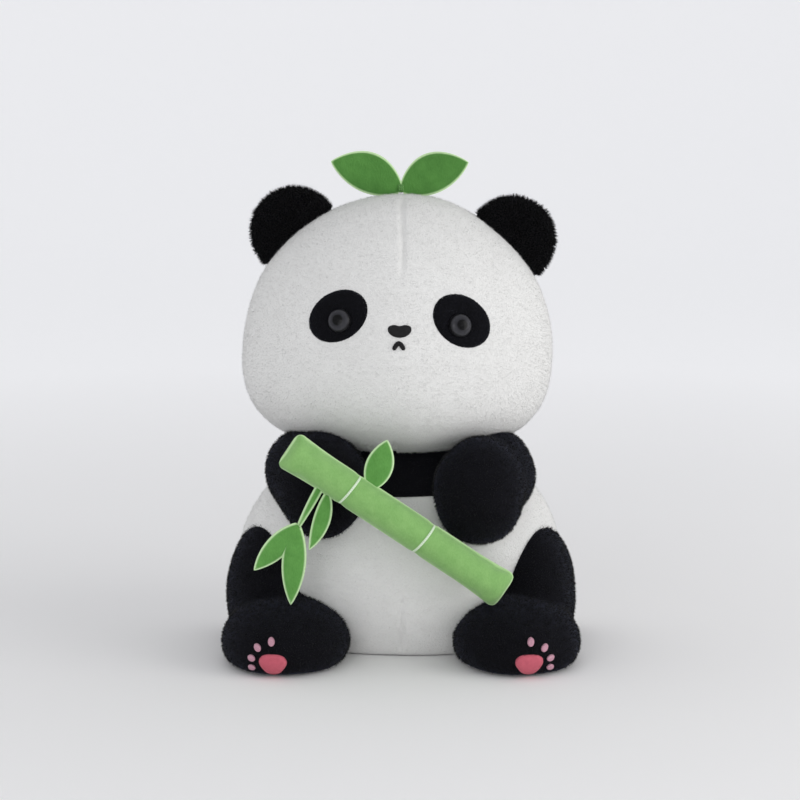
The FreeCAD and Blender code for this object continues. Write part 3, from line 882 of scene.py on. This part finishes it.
def make_eye(side):
    """A dome of the eye's radius on the patch, with a flat back under it."""
    radius, dome = 5.9 * mm, 3.4 * mm
    axis = eye_axis(side)
    seat = drape(eye_places[side][None, :] * [1, 0, 1] + [[0, -0.3, 0]], patches[side])[0]
    share = np.linspace(0.001, 1, 22)
    profile = [(radius * s, dome * math.sqrt(max(1 - s**2.4, 0)) + 0.5 * mm) for s in share]
    profile += [(radius * 0.98, -0.9 * mm), (radius * 0.4, -1.0 * mm), (0.001 * mm, -1.0 * mm)]
    piece, reach = spin(f"eye_dome_{side}", profile, seat, axis, eye_gloss)
    paint(piece, "radius", reach / radius)
    fasten(piece, "head", (f"eye_{side}",))
    print(f"eye_{side}: seat at {np.round(seat / mm, 1)} mm")
    return piece


eyes = [make_eye(side) for side in ("left", "right")]

# %% [markdown]
# ## Nose and mouth
# Both are embroidered: threads laid side by side, raised over padding. The nose is a soft
# triangle with a dipped upper edge, and the mouth is a small downturned arch.

# %% Nose and mouth
nose_low, nose_high = span("nose_stitching")
nose_middle = ((nose_low[0] + nose_high[0]) / 2, (nose_low[2] + nose_high[2]) / 2)
nose_half_width, nose_above, nose_below, nose_dip = 5.8 * mm, 2.9 * mm, 3.6 * mm, 0.75 * mm


def nose_outline(angle, centre=False):
    """The nose's edge: two lobes above with a dip between them, and a broad point below."""
    if centre:
        return np.array([nose_middle[0], 0, nose_middle[1]])
    up = np.maximum(np.sin(angle), 0)
    across = nose_half_width * np.cos(angle) * (1 + 0.08 * up)
    high = nose_above * up**0.62 - nose_dip * valley(across, 2.0 * mm) * up
    low = -nose_below * np.maximum(-np.sin(angle), 0) ** 1.15
    return np.stack([across, high + low], 1)


nose = raised_disc("nose_satin", nose_outline, head, 1.0 * mm, black_satin, stitches=1 / (0.5 * mm))
fasten(nose, "head", ("nose_stitching",))


def tube(name, path, radius, finish, closed=False, sides=14, squash=1.0, out=(0, -1.0, 0)):
    """A round cord along a path: a circle carried along it, with its ends left open unless the path is
    closed.
    """
    ahead = np.roll(path, -1, 0) - np.roll(path, 1, 0)
    if not closed:
        ahead[0], ahead[-1] = path[1] - path[0], path[-1] - path[-2]
    ahead = unit(ahead)
    side = unit(np.cross(ahead, np.asarray(out, float)))
    up = np.cross(side, ahead)
    angle = np.arange(sides) / sides * 2 * math.pi
    radii = np.broadcast_to(radius, len(path)).astype(float)
    ring = (np.cos(angle)[None, :, None] * side[:, None, :]
            + np.sin(angle)[None, :, None] * up[:, None, :] * squash)
    points = path[:, None, :] + ring * radii[:, None, None]
    faces = tube_faces(len(path), sides, closed)
    piece = make_piece(name, points.reshape(-1, 3), faces, finish)
    length = np.concatenate([[0], np.cumsum(np.linalg.norm(np.diff(path, axis=0), axis=1))])
    turns = np.repeat(length, sides) / (0.9 * mm) + np.tile(angle, len(path)) / (2 * math.pi)
    paint(piece, "stitch", turns)
    return piece


mouth_low, mouth_high = span("mouth_stitching")
mouth_half_width, mouth_drop, mouth_thread = 2.7 * mm, 3.4 * mm, 1.15 * mm
share = np.linspace(-1, 1, 33)
arch = np.stack([(mouth_low[0] + mouth_high[0]) / 2 + mouth_half_width * share,
                 np.full(len(share), -0.3),
                 mouth_high[2] + 0.2 * mm - mouth_drop * np.abs(share) ** 1.7], 1)
arch = drape(arch, head) - np.array([0, 0.3 * mm, 0])
thickness = mouth_thread * np.sqrt(np.clip(1 - np.abs(share) ** 8, 0.0, 1)) + 0.02 * mm
mouth = tube("mouth_satin", arch, thickness, black_satin, squash=0.9)
fasten(mouth, "head", ("mouth_stitching",))
print("nose at", np.round(np.array(nose_middle) / mm, 1), "mm, mouth", round(mouth_drop / mm, 1), "high")

# %% [markdown]
# ## The torso
# A pear of six panels that sits flat. The belly is white; the black band of the shoulders
# is a separate panel over the top, a little proud, with its lower edge turned in.

# %% Torso and shoulder band
torso_halves = np.array([torso_wide, torso_deep, torso_tall])


def sit(points, softness=3.5 * mm):
    """Flattens what would be below the floor, with a rounded corner."""
    z = points[:, 2] - 0.3 * mm
    flat = points.copy()
    flat[:, 2] = 0.5 * (z + np.sqrt(z * z + softness**2)) - 0.28 * softness
    flat[:, 2] = np.maximum(flat[:, 2], 0.2 * mm)
    return flat


def make_torso():
    """The white panels in one: an ellipsoid cut off by the floor, sunk in along its seams."""
    directions, faces = ball_grid(28)
    points = directions * torso_halves + torso_middle
    points += directions * (ripples(points, 70 * mm, 5) * 0.7 * mm)[:, None]
    torso = make_piece("torso_plush", sit(points), faces, white_plush)
    points = points_of(torso)
    seam = (np.abs(points[:, 1]) < 3 * mm) | (points[:, 2] < 2 * mm) | (points[:, 2] > band_edge)
    stuff(torso, seam, give=1.5 * mm)
    refine(torso, 2)
    points, normals = points_of(torso), normals_of(torso)
    x, y, z = points.T
    low_dart = valley(x, 1.4 * mm) * step_up(-y, 20 * mm, 40 * mm) * step_up(-z, -36 * mm, -22 * mm)
    side_seam = valley(y - 2 * mm, 1.6 * mm) * step_up(z, 4 * mm, 9 * mm)
    back_seam = valley(x, 1.5 * mm) * step_up(y, 20 * mm, 40 * mm)
    sink = 1.1 * mm * (low_dart + side_seam + back_seam)
    sink += 1.4 * mm * step_up(z, band_edge - 2 * mm, band_edge + 1 * mm)
    points -= normals * (sink * step_up(z, 2 * mm, 6 * mm))[:, None]
    set_points(torso, points)
    return torso


def make_band():
    """The shoulder panel: rows from the neck down to the seam, then back up inside."""
    columns, rows = 220, 44
    angle = np.arange(columns) / columns * 2 * math.pi
    lowest = band_edge - torso_middle[2]
    edge = lowest + 1.2 * mm * np.cos(2 * angle)
    tall = np.linspace(0, 1, rows)[:, None]
    bottom = np.arccos(edge / torso_tall)[None, :]
    down = tall * bottom + (1 - tall) * 0.02
    lip = 1.3 * mm * np.sqrt(np.clip(1 - np.clip((tall - 0.93) / 0.07, 0, 1) ** 2, 0, 1))
    halves = torso_halves + 0.2 * mm
    shell = np.stack([np.sin(down) * np.cos(angle), np.sin(down) * np.sin(angle),
                      np.cos(down) * np.ones(columns)], -1)
    outer = shell * (halves + (lip[..., None] - 0.2 * mm)) + torso_middle
    outer += shell * (ripples(outer.reshape(-1, 3), 30 * mm, 8).reshape(rows, columns, 1) * 0.25 * mm)
    inner = shell[::-1] * (halves - 2.2 * mm) + torso_middle
    points = np.concatenate([outer, inner]).reshape(-1, 3)
    band = make_piece("shoulder_band_plush", points, tube_faces(2 * rows, columns)[:, ::-1],
                      black_plush)
    close_ends(band, columns)
    return band


def close_ends(piece, columns):
    """Closes both ends of a tube of rings with one flat face each, facing outwards."""
    mesh = piece.data
    count = len(mesh.vertices)
    points = points_of(piece).tolist()
    polygons = [list(p.vertices) for p in mesh.polygons]
    polygons.append(list(range(columns)))
    polygons.append(list(range(count - 1, count - columns - 1, -1)))
    closed = bpy.data.meshes.new(mesh.name)
    closed.from_pydata(points, [], polygons)
    for material in mesh.materials:
        closed.materials.append(material)
    closed.polygons.foreach_set("use_smooth", np.ones(len(polygons), bool))
    piece.data = closed


torso = make_torso()
band = make_band()
fasten(torso, "torso",
       ("belly_panel", "base_panel", "back_panel_left", "back_panel_right"))
fasten(band, "torso", ("shoulder_band_front", "shoulder_band_back"))
torso_pile = pile("torso_pile", torso, 34000, short_tuft, thin_tuft, white_strands, 21,
                  keep=lambda p: 1.0 * ((p[:, 2] < band_edge + 1 * mm) & (p[:, 2] > 1.5 * mm)))
band_pile = pile("shoulder_band_pile", band, 14000, 1.2 * mm, 0.17 * mm, black_strands, 22,
                 keep=lambda p: 1.0 * (p[:, 2] < torso_high[2] - 4 * mm))
fasten(torso_pile, "torso")
fasten(band_pile, "torso")

# %% [markdown]
# ## The bamboo's line
# The two thread bands in the frame give the bamboo's direction, and its box the length.

# %% Bamboo frame
stick_points = points_of(frame["nodes"]["bamboo_cover"])
band_places = [sum(np.array(c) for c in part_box(f"bamboo_band_{n}")) / 2 for n in ("upper", "lower")]
rough_way = unit(band_places[1] - band_places[0])


def end_of_stick(sign):
    """The middle of the stick's end face: halfway between its outermost points."""
    reach = stick_points @ rough_way * sign
    face = stick_points[reach > reach.max() - 1.5 * mm]
    return (face.min(0) + face.max(0)) / 2


stick_ends = [end_of_stick(-1), end_of_stick(1)]
stick_middle = (stick_ends[0] + stick_ends[1]) / 2
stick_length = float(np.linalg.norm(stick_ends[1] - stick_ends[0]))
stick_way = unit(stick_ends[1] - stick_ends[0])
stick_up = np.array([-stick_way[2], 0, stick_way[0]])
band_at = [float((b - stick_middle) @ stick_way) for b in band_places]
stick_radius = (stick_points[:, 1].max() - stick_points[:, 1].min()) / 2 - 0.8 * mm


def sag_shape(along):
    return 1 - (2 * along / stick_length) ** 2


stick_bow = float(np.mean([-(b - stick_middle) @ stick_up / sag_shape(a)
                           for a, b in zip(band_at, band_places)]))
print("bamboo: %.1f mm long, %.1f mm radius, sags %.1f mm"
      % (stick_length / mm, stick_radius / mm, stick_bow / mm))


def on_stick(along, across, out):
    """A place given along the bowed bamboo, up across it, and out of its front."""
    along, across, out = (np.asarray(v, float)[..., None] for v in (along, across, out))
    across = across - stick_bow * sag_shape(along)
    return stick_middle + along * stick_way + across * stick_up - out * np.array([0, 1.0, 0])


def clear_of_stick(points, gap):
    """Moves points out of the bamboo, straight away from its line."""
    along = (points - stick_middle) @ stick_way
    away = points - on_stick(along, 0 * along, 0 * along)
    distance = np.linalg.norm(away, axis=1, keepdims=True)
    radius = stick_radius + gap
    inside = (distance < radius) & (np.abs(along) < stick_length / 2 + 3 * mm)[:, None]
    return np.where(inside, points + away / np.maximum(distance, 1e-6) * (radius - distance), points)


# %% [markdown]
# ## Arms and legs
# Each limb is a bag of two lobes: shoulder and paw, thigh and foot. The skin is found
# from a point inside both lobes. It is then pressed against the torso, the bamboo and the
# floor, and stuffed. At the hip or shoulder the limb is sewn on.

# %% Limbs
paw_halves = np.array([22.5, 26, 27]) * mm
shoulder_halves = np.array([19, 30, 21]) * mm
paw_out = 39 * mm
foot_lobe = (np.array([57.5, -66, 11.5]) * mm, np.array([31.6, 37.4, 20.6]) * mm, 0)
thigh_lobe = (np.array([66, -20, 26.5]) * mm, np.array([23.5, 41, 36]) * mm, 32)
inside_both = np.array([62, -48, 17]) * mm


def fill_up(cover, inset, faces):
    """The filling of a cover: the same shape, drawn inwards by inset."""
    name = cover.name.replace("plush", "filling").replace("shag", "filling")
    return make_piece(name, points_of(cover) - normals_of(cover) * inset, faces, fibre_fill)


def make_limb(name, middle, lobes, steps, side, softness, give=1.5 * mm, on_floor=False,
              stick_gap=None, seed=1):
    """The cover of one limb and the filling inside it, which is the cover drawn inwards."""
    directions, faces = ball_grid(steps)
    points = blob(directions, middle, lobes, softness)
    points += directions * (ripples(points, 34 * mm, seed) * 0.5 * mm)[:, None]
    if side == "right":
        points, faces = points * np.array([-1, 1, 1]), faces[:, ::-1]
    if on_floor:
        points = sit(points)
    if stick_gap is not None:
        points = clear_of_stick(points, stick_gap)
    limb = make_piece(name, points, faces, black_plush)
    torso_depth = np.linalg.norm((points - torso_middle) / (torso_halves + 1.6 * mm), axis=1)
    held = (torso_depth < 1.0) | (points[:, 2] < 2 * mm)
    if stick_gap is not None:
        held |= np.linalg.norm(points - clear_of_stick(points, stick_gap + 1 * mm), axis=1) > 0
    stuff(limb, held, give=give)
    filling = fill_up(limb, 2.2 * mm, faces)
    return refine(limb, 2), filling


def arm_lobes(side):
    """Shoulder and paw of an arm, as if it were the left one: place, half sizes, pitch."""
    low, high = span(f"arm_{side}_cover")
    front, outside = low[1], max(-low[0], high[0])
    paw = np.array([paw_out, front + paw_halves[1] + 1 * mm, low[2] + paw_halves[2]])
    shoulder = np.array([outside - shoulder_halves[0], -28 * mm, paw[2] + 5 * mm])
    return [(paw, paw_halves, 0), (shoulder, shoulder_halves, 0)]


arms, legs, fillings = {}, {}, {}
for side in ("left", "right"):
    lobes = arm_lobes(side)
    inner_point = (lobes[0][0] + lobes[1][0]) / 2
    arms[side], fillings[f"arm_{side}"] = make_limb(
        f"arm_plush_{side}", inner_point, lobes, 18, side, 2.5 * mm, stick_gap=0.6 * mm,
        seed=31 if side == "left" else 32)

for side in ("left", "right"):
    legs[side], fillings[f"leg_{side}"] = make_limb(
        f"leg_plush_{side}", inside_both, [foot_lobe, thigh_lobe], 22, side, 3.5 * mm,
        on_floor=True, seed=41 if side == "left" else 42)

for side, limb in arms.items():
    hinge = joint_place(f"arm_{side}_lift")
    bend = ("torso", f"arm_{side}", tuple(hinge + [0, -8 * mm, 0]), tuple(hinge + [0, -45 * mm, -6 * mm]))
    fasten(limb, None, (f"arm_{side}_cover",), bend)
    fasten(fillings[f"arm_{side}"], None, (f"arm_{side}_stuffing",), bend)
    fur = pile(f"arm_pile_{side}", limb, 16000, 1.3 * mm, 0.18 * mm, black_strands, 33)
    fasten(fur, None, (), bend)
for side, limb in legs.items():
    hinge = joint_place(f"leg_{side}_spread")
    bend = ("torso", f"leg_{side}", tuple(hinge + [0, -6 * mm, 0]), tuple(hinge + [0, -45 * mm, 0]))
    fasten(limb, None, (f"leg_{side}_cover",), bend)
    fasten(fillings[f"leg_{side}"], None, (f"leg_{side}_stuffing",), bend)
    fur = pile(f"leg_pile_{side}", limb, 24000, 1.3 * mm, 0.18 * mm, black_strands, 43,
               keep=lambda p: 1.0 * (p[:, 2] > 2.0 * mm))
    fasten(fur, None, (), bend)

# %% [markdown]
# ## Ears
# Each ear is a half round of longer, shaggier pile, filled thinly and sewn on along a
# straight seam.

# %% Ears


def make_ear(side, sign):
    """A flattened half round with a hollow in front, standing on its curved seam."""
    seat = joint_place(f"ear_{side}_fold") - np.array([0, 0, 2.0 * mm])
    along = joint_axis(f"ear_{side}_fold")
    out = np.array([-along[2], 0, along[0]])
    out = out if out[2] > 0 else -out
    directions, faces = ball_grid(20)
    points = superball(directions, 22 * mm, 6.2 * mm, 22.8 * mm, 22.8 * mm, 2.05, 2.05)
    bowl = valley(np.hypot(points[:, 0], points[:, 2] - 12 * mm), 11 * mm)
    points[:, 1] += np.where(points[:, 1] < 0, 2.0 * mm, -0.6 * mm) * bowl
    root = -(points[:, 0] ** 2) / (2 * 80 * mm) - 2.2 * mm
    points[:, 2] = np.maximum(points[:, 2], root)
    points += directions * (ripples(points, 22 * mm, 51 + sign) * 0.5 * mm)[:, None]
    placed = seat + points[:, :1] * along + points[:, 2:] * out + points[:, 1:2] * np.array([0, 1.0, 0])
    if np.linalg.det([along, [0, 1.0, 0], out]) < 0:
        faces = faces[:, ::-1]
    ear = make_piece(f"ear_shag_{side}", placed, faces, black_plush)
    filling = fill_up(ear, 1.6 * mm, faces)
    refine(ear, 1)
    bend = ("head", f"ear_{side}", tuple(seat), tuple(seat + out * 9 * mm))
    nodes = (f"ear_{side}_front", f"ear_{side}_back")
    fur = pile(f"ear_pile_{side}", ear, 12500, 2.4 * mm, 0.24 * mm, shag_strands, 52, comb=0.25,
               keep=lambda p: 1.0 * ((p - seat) @ out > -2 * mm))
    fasten(ear, None, nodes, bend)
    fasten(fur, None, (), bend)
    fasten(filling, None, (f"ear_{side}_stuffing",), bend)


make_ear("left", 1)
make_ear("right", -1)

# %% [markdown]
# ## The bamboo
# Two strips of felt sewn along both long sides and across the ends, then stuffed. The ends
# stay flat and a little wider, the sides show the pale cut edge of the felt, and two turns
# of thread pull the tube in.

# %% Bamboo tube and bands


def stick_section(along):
    """Half width and half thickness of the tube at a place along it."""
    from_end = stick_length / 2 - np.abs(along)
    flare = np.clip(1 - from_end / (24 * mm), 0, 1)
    pinch = np.clip(1 - from_end / (9 * mm), 0, 1)
    waist = sum(valley(along - place, 2.2 * mm) for place in band_at)
    wide = stick_radius * (0.97 + 0.16 * flare**1.8 - 0.05 * waist)
    wide -= 4.0 * mm * (1 - np.sqrt(np.clip(1 - np.clip(1 - from_end / (4 * mm), 0, 1) ** 2, 0, 1)))
    thick = stick_radius * (0.97 * np.sqrt(np.clip(1 - pinch**2.2, 0, 1)) - 0.05 * waist)
    return wide, np.maximum(thick, 1.0 * mm)


def make_stick(name, inset, *finishes):
    """The tube, or its filling when it is drawn inset from the skin."""
    rows, columns = 170, 80
    along = np.linspace(-1, 1, rows)
    along = along * (1.15 - 0.15 * along**2) * (stick_length / 2 - inset)
    angle = np.arange(columns) / columns * 2 * math.pi
    wide, thick = stick_section(along)
    edge = valley(np.sin(angle), 0.1)[None, :] * np.ones((rows, 1))
    if inset:
        edge = 0 * edge
    across = (wide[:, None] - inset) * np.cos(angle) + 0.7 * mm * edge * np.sign(np.cos(angle))
    out = np.maximum(thick[:, None] - inset, 0.2 * mm) * np.sin(angle)
    lengthwise = np.repeat(along, columns)
    points = on_stick(lengthwise, across.ravel(), out.ravel())
    piece = make_piece(name, points, tube_faces(rows, columns), *finishes)
    close_ends(piece, columns)
    from_end = stick_length / 2 - np.abs(lengthwise)
    rim = np.maximum(edge.ravel(), step_up(-from_end, -1.1 * mm, -0.6 * mm))
    crumple = ripples(points, 10 * mm, 61) * 0.45 * mm * step_up(-from_end, -24 * mm, -6 * mm)
    crumple += ripples(points, 24 * mm, 62) * 0.3 * mm
    normals = normals_of(piece)
    if not inset:
        set_points(piece, points + normals * (crumple * (1 - rim))[:, None])
        paint(piece, "rim", rim)
    return piece


stick = make_stick("bamboo_tube", 0.0, bamboo_felt)
fasten(stick, "arm_right", ("bamboo_cover",))
stick_fill = make_stick("bamboo_fill", 1.3 * mm, fibre_fill)
fasten(stick_fill, "arm_right", ("bamboo_stuffing",))


def make_stick_band(name, place):
    """One turn of heavy thread, pulled tight round the tube."""
    angle = np.arange(96) / 96 * 2 * math.pi
    wide, thick = stick_section(np.full(96, place))
    slant = 0.8 * mm * np.cos(angle)
    path = on_stick(place + slant, (wide + 0.1 * mm) * np.cos(angle), (thick + 0.1 * mm) * np.sin(angle))
    out = unit(path - on_stick(place, 0.0, 0.0))
    ahead = unit(np.roll(path, -1, 0) - np.roll(path, 1, 0))
    side = unit(np.cross(ahead, out))
    turn = np.arange(12) / 12 * 2 * math.pi
    ring = np.cos(turn)[None, :, None] * side[:, None] + np.sin(turn)[None, :, None] * out[:, None]
    points = path[:, None] + ring * 0.62 * mm
    piece = make_piece(name, points.reshape(-1, 3), tube_faces(96, 12, True), pale_thread)
    paint(piece, "stitch", np.repeat(np.arange(96) / 2.0, 12))
    return piece


for name, place in zip(("upper", "lower"), band_at):
    thread = make_stick_band(f"bamboo_thread_{name}", place)
    fasten(thread, "arm_right", (f"bamboo_band_{name}",))

# %% [markdown]
# ## Felt leaves
# A leaf is two layers of felt sewn round the edge. The formula goes from the foot to the
# tip along a line, with one bulge to each side, and the cross-section is a thin rounded
# bar. The rim value is 1 within a millimetre of the cut edge.

# %% Leaves


def leaf_skin(foot, tip, bulges, root, cup, depth, thick=0.9 * mm, rows=46, columns=48):
    """Points of one leaf and its rim values, in rings from foot to tip."""
    line = tip - foot
    side = unit(np.array([-line[2], 0, line[0]]))
    s = np.linspace(0, 1, rows)
    fall = np.clip((1 - s) / 0.03, 0, 1)
    profile = (4 * s * (1 - s)) ** 0.9
    upper = bulges[0] * profile + root * (1 - s) + 0.15 * mm * fall
    lower = bulges[1] * profile + root * (1 - s) + 0.15 * mm * fall
    angle = np.arange(columns) / columns * 2 * math.pi
    cross = np.sign(np.cos(angle)) * np.abs(np.cos(angle)) ** 0.5
    over = np.sign(np.sin(angle)) * np.abs(np.sin(angle)) ** 0.5
    across = np.where(cross > 0, upper[:, None] * cross, lower[:, None] * cross)
    half = np.where(cross > 0, upper[:, None], lower[:, None])
    inset = half - np.abs(across)
    rim = 1 - step_up(inset, 0.5 * mm, 1.3 * mm)
    thin = thick * (0.75 + 0.25 * step_up(inset, 0, 2.0 * mm)) * np.sqrt(np.clip(fall, 0.1, 1))[:, None]
    rise = over * thin
    bowl = cup * (across / np.maximum(half, 1e-6)) ** 2 * profile[:, None]
    out = rise - bowl + depth(s)[:, None]
    points = (foot + s[:, None, None] * line + across[..., None] * side
              - out[..., None] * np.array([0, 1.0, 0]))
    return points.reshape(-1, 3), rim.ravel(), rows, columns


def make_leaf(name, foot, tip, bulges, root, cup=1.0 * mm, depth=lambda s: 0 * s,
              finish=leaf_felt):
    """A felt leaf from foot to tip. depth gives how far forward it stands along the way."""
    points, rim, rows, columns = leaf_skin(foot, tip, bulges, root, cup, depth)
    leaf = make_piece(name, points, tube_faces(rows, columns), finish)
    close_ends(leaf, columns)
    paint(leaf, "rim", rim)
    wave = ripples(points, 16 * mm, len(name)) * 0.25 * mm
    points[:, 1] += wave
    set_points(leaf, points)
    return leaf


sprout_foot = joint_place("sprout_fold")
for side, sign, extra in (("left", 1, (1.0, 15.2)), ("right", -1, (4.6, 12.9))):
    low, high = span(f"sprout_leaf_{side}")
    width = high[0] - low[0]
    over, up = sign * (width + extra[0] * mm), extra[1] * mm
    slope = math.sin(head_lean)
    reach = np.array([over + up * slope, 0, up - over * slope])
    bulges = (11.0 * mm, 7.4 * mm) if sign > 0 else (7.4 * mm, 11.0 * mm)
    foot = sprout_foot + np.array([sign * 0.4 * mm, 0, 1.2 * mm])
    petal = make_leaf(f"sprout_felt_{side}", foot, foot + reach, bulges, 2.2 * mm, 1.6 * mm,
                      lambda s: 3.0 * mm * s**2, sprout_felt)
    bend = ("head", "sprout", tuple(sprout_foot), tuple(sprout_foot + [0, 0, 6 * mm]))
    fasten(petal, None, (f"sprout_leaf_{side}",), bend)

# %% Leaves on the bamboo


def hang_leaf(name, body, foot, tip, bulges, root, node, depth=lambda s: 0 * s):
    """A leaf sewn to the bamboo at its foot, reaching to its tip."""
    leaf = make_leaf(name, foot, tip, bulges, root, depth=depth)
    way = unit(tip - foot)
    bend = ("arm_right", body, tuple(foot), tuple(foot + way * 8 * mm))
    fasten(leaf, None, (node,), bend)
    return leaf


top_reach = np.array([7.5, 0, 21.5]) * mm
small_reach = np.array([-9, 0, -26]) * mm
top_foot = joint_place("leaf_top_bend")
hang_leaf("top_leaf_felt", "leaf_top", top_foot + [0, 0, -1 * mm], top_foot + top_reach,
          (4.6 * mm, 5.4 * mm), 3.2 * mm, "bamboo_leaf_top")
small_foot = joint_place("leaf_small_bend")
hang_leaf("small_leaf_felt", "leaf_small", small_foot + [0, 0, 1 * mm], small_foot + small_reach,
          (4.6 * mm, 2.0 * mm), 1.6 * mm, "bamboo_leaf_small", lambda s: 2.0 * mm * s)
print("leaves on the bamboo:", np.round(np.linalg.norm([top_reach, small_reach], axis=1) / mm, 1))

# %% Forked twig
stem_reach = np.array([-12, 0, -20]) * mm
outer_reach = np.array([-20, 0, -19]) * mm
inner_reach = np.array([-2, 0, -36]) * mm
twig_foot = joint_place("twig_bend")
fork = twig_foot + stem_reach
outer_leaf = make_leaf("twig_outer", fork + np.array([2, 0, 3]) * mm,
                       fork + outer_reach, (4.6 * mm, 4.6 * mm), 1.8 * mm,
                       depth=lambda s: 1.5 * mm + 1.0 * mm * s)
inner_leaf = make_leaf("twig_inner", fork + np.array([1, 0, 3]) * mm,
                       fork + inner_reach, (4.9 * mm, 4.9 * mm), 1.8 * mm,
                       depth=lambda s: 1.5 * mm + 3.0 * mm * s)
stem = make_leaf("twig_stem", twig_foot + [0, 0, 1 * mm], fork + np.array([-1, 0, -3]) * mm,
                 (0.6 * mm, 0.6 * mm), 2.0 * mm, depth=lambda s: 1.5 * mm * s)
twig_way = unit(fork - twig_foot)
twig_bend = ("arm_right", "twig", tuple(twig_foot), tuple(twig_foot + twig_way * 9 * mm))
for leaf, nodes in ((stem, ("bamboo_twig",)), (outer_leaf, ()), (inner_leaf, ())):
    fasten(leaf, None, nodes, twig_bend)
print("twig forks at", np.round(fork / mm, 1), "mm")

# %% [markdown]
# ## Sprout stitch, paw prints and tail
# Small finishing pieces: the thread that pinches the sprout, the satin-stitched pads and
# toes on the soles, and a little round tail behind.

# %% Sprout stitch
wrap_steps, wrap_turns = 72, 3
wrap_angle = np.arange(wrap_steps) / wrap_steps * 2 * math.pi * wrap_turns
wrap = np.stack([np.linspace(-1.3, 1.3, wrap_steps) * mm, 1.7 * mm * np.cos(wrap_angle),
                 1.7 * mm + 1.9 * mm * np.sin(wrap_angle)], 1) + sprout_foot
stitch = tube("sprout_wrap", wrap, 0.45 * mm, green_thread, out=(1.0, 0, 0.3), sides=8)
close_ends(stitch, 8)
paint(stitch, "stitch", np.repeat(np.arange(wrap_steps) / 2.0, 8))
fasten(stitch, "sprout", ("sprout_stitch",))
print("sprout stitched at", np.round(sprout_foot / mm, 1), "mm")

# %% Paw prints
pad_radius, toe_circle, print_turn = 6.2 * mm, 10.8 * mm, 38
toe_long, toe_wide = 2.0 * mm, 1.7 * mm


def make_print(side, sign):
    """The pad and four toes on one sole, turned outwards, stitched through the cover."""
    pad_low, pad_high = span(f"leg_{side}_pad")
    at = (pad_low + pad_high) / 2
    bend_hinge = joint_place(f"leg_{side}_spread")
    bend = ("torso", f"leg_{side}", tuple(bend_hinge + [0, -6 * mm, 0]),
            tuple(bend_hinge + [0, -45 * mm, 0]))

    def pad_outline(angle, centre=False):
        """A soft three-cornered pad, turned outwards."""
        if centre:
            return np.array([at[0], 0, at[2]])
        radius = pad_radius * (1 + 0.09 * np.cos(3 * (angle + math.radians(90))))
        return np.stack([radius * np.cos(angle) * 1.08, radius * np.sin(angle) * 0.92], 1)

    pad = raised_disc(f"paw_pad_{side}", pad_outline, legs[side], 1.9 * mm, pink_satin,
                      stitches=1 / (0.55 * mm), stitch_turn=sign * print_turn)
    fasten(pad, None, (f"leg_{side}_pad",), bend)
    for number, step in enumerate((-34, 6, 39, 66)):
        toward = math.radians(print_turn + step)
        place = (at[0] + sign * toe_circle * math.sin(toward), at[2] + toe_circle * math.cos(toward))
        toe = raised_disc(f"toe_{side}_{number}",
                          oval(place, toe_long, toe_wide, 90 - sign * math.degrees(toward)),
                          legs[side], 1.9 * mm, pale_satin, rings=8, spokes=36,
                          stitches=1 / (0.55 * mm), stitch_turn=sign * print_turn)
        fasten(toe, None, (f"leg_{side}_toes",) if number == 0 else (), bend)


make_print("left", 1)
make_print("right", -1)
print("toes on each sole: 4")

# %% Tail
tail_low, tail_high = span("tail_cover")
tail_middle = (tail_low + tail_high) / 2
tail_halves = np.array([16, 13, 14]) * mm
tail_middle[1] = tail_high[1] - tail_halves[1]
directions, faces = ball_grid(14)
tail_points = tail_middle + directions * tail_halves
tail_points = push_out(tail_points, torso_middle, torso_halves, 0.6 * mm)
tail = refine(make_piece("tail_plush", tail_points, faces, black_plush), 2)
fasten(tail, "torso", ("tail_cover",))
tail_fur = pile("tail_pile", tail, 6000, 1.5 * mm, 0.18 * mm, black_strands, 71)
fasten(tail_fur, "torso")

# %% [markdown]
# ## The floor
# A pale floor that sweeps up far away on every side, as paper does in a studio, so
# that no line shows between floor and wall. It is a profile spun round the Z axis. Far from
# the toy the paper is painted lighter and glows: painted light for a brighter backdrop.

# %% Floor
floor_flat, floor_end = 2.6, 4.6
sweep = np.linspace(0, 1, 24)
floor_profile = [(0.001, 0.0)] + [(floor_flat + (floor_end - floor_flat) * math.sin(t * 1.45),
                                   2.2 * (1 - math.cos(t * 1.45))) for t in sweep]


def backdrop_paper():
    """Pale paper, painted lighter and glowing where it is far from the toy: painted light, not a lamp,
    with soft random clouds.
    """
    finish = Finish("floor", Roughness=0.9, Emission_Strength=1.0)
    away = finish.node("ShaderNodeVectorMath", {"operation": "LENGTH"}, {0: finish.place()},
                       output="Value")
    cloud = finish.noise(0.3, 2.0) * 0.05
    # Painted light: colour and glow both rise with the distance from the toy, so the far paper shines
    # though no lamp lights it.
    colour = finish.ramp(away * 0.7 + cloud, (0.15, srgb(244, 243, 243)), (0.8, srgb(248, 248, 249)))
    painted_glow = finish.ramp(away * 0.7 + cloud, (0.15, (0, 0, 0, 1)), (0.8, (0.14, 0.14, 0.145, 1)))
    return finish.feed(Base_Color=colour, Emission_Color=painted_glow).material


floor, _ = spin("floor", floor_profile, np.zeros(3), np.array([0, 0, 1.0]), backdrop_paper(), 96)
print("floor out to", floor_end, "m")

# %% The end
bpy.context.view_layer.update()
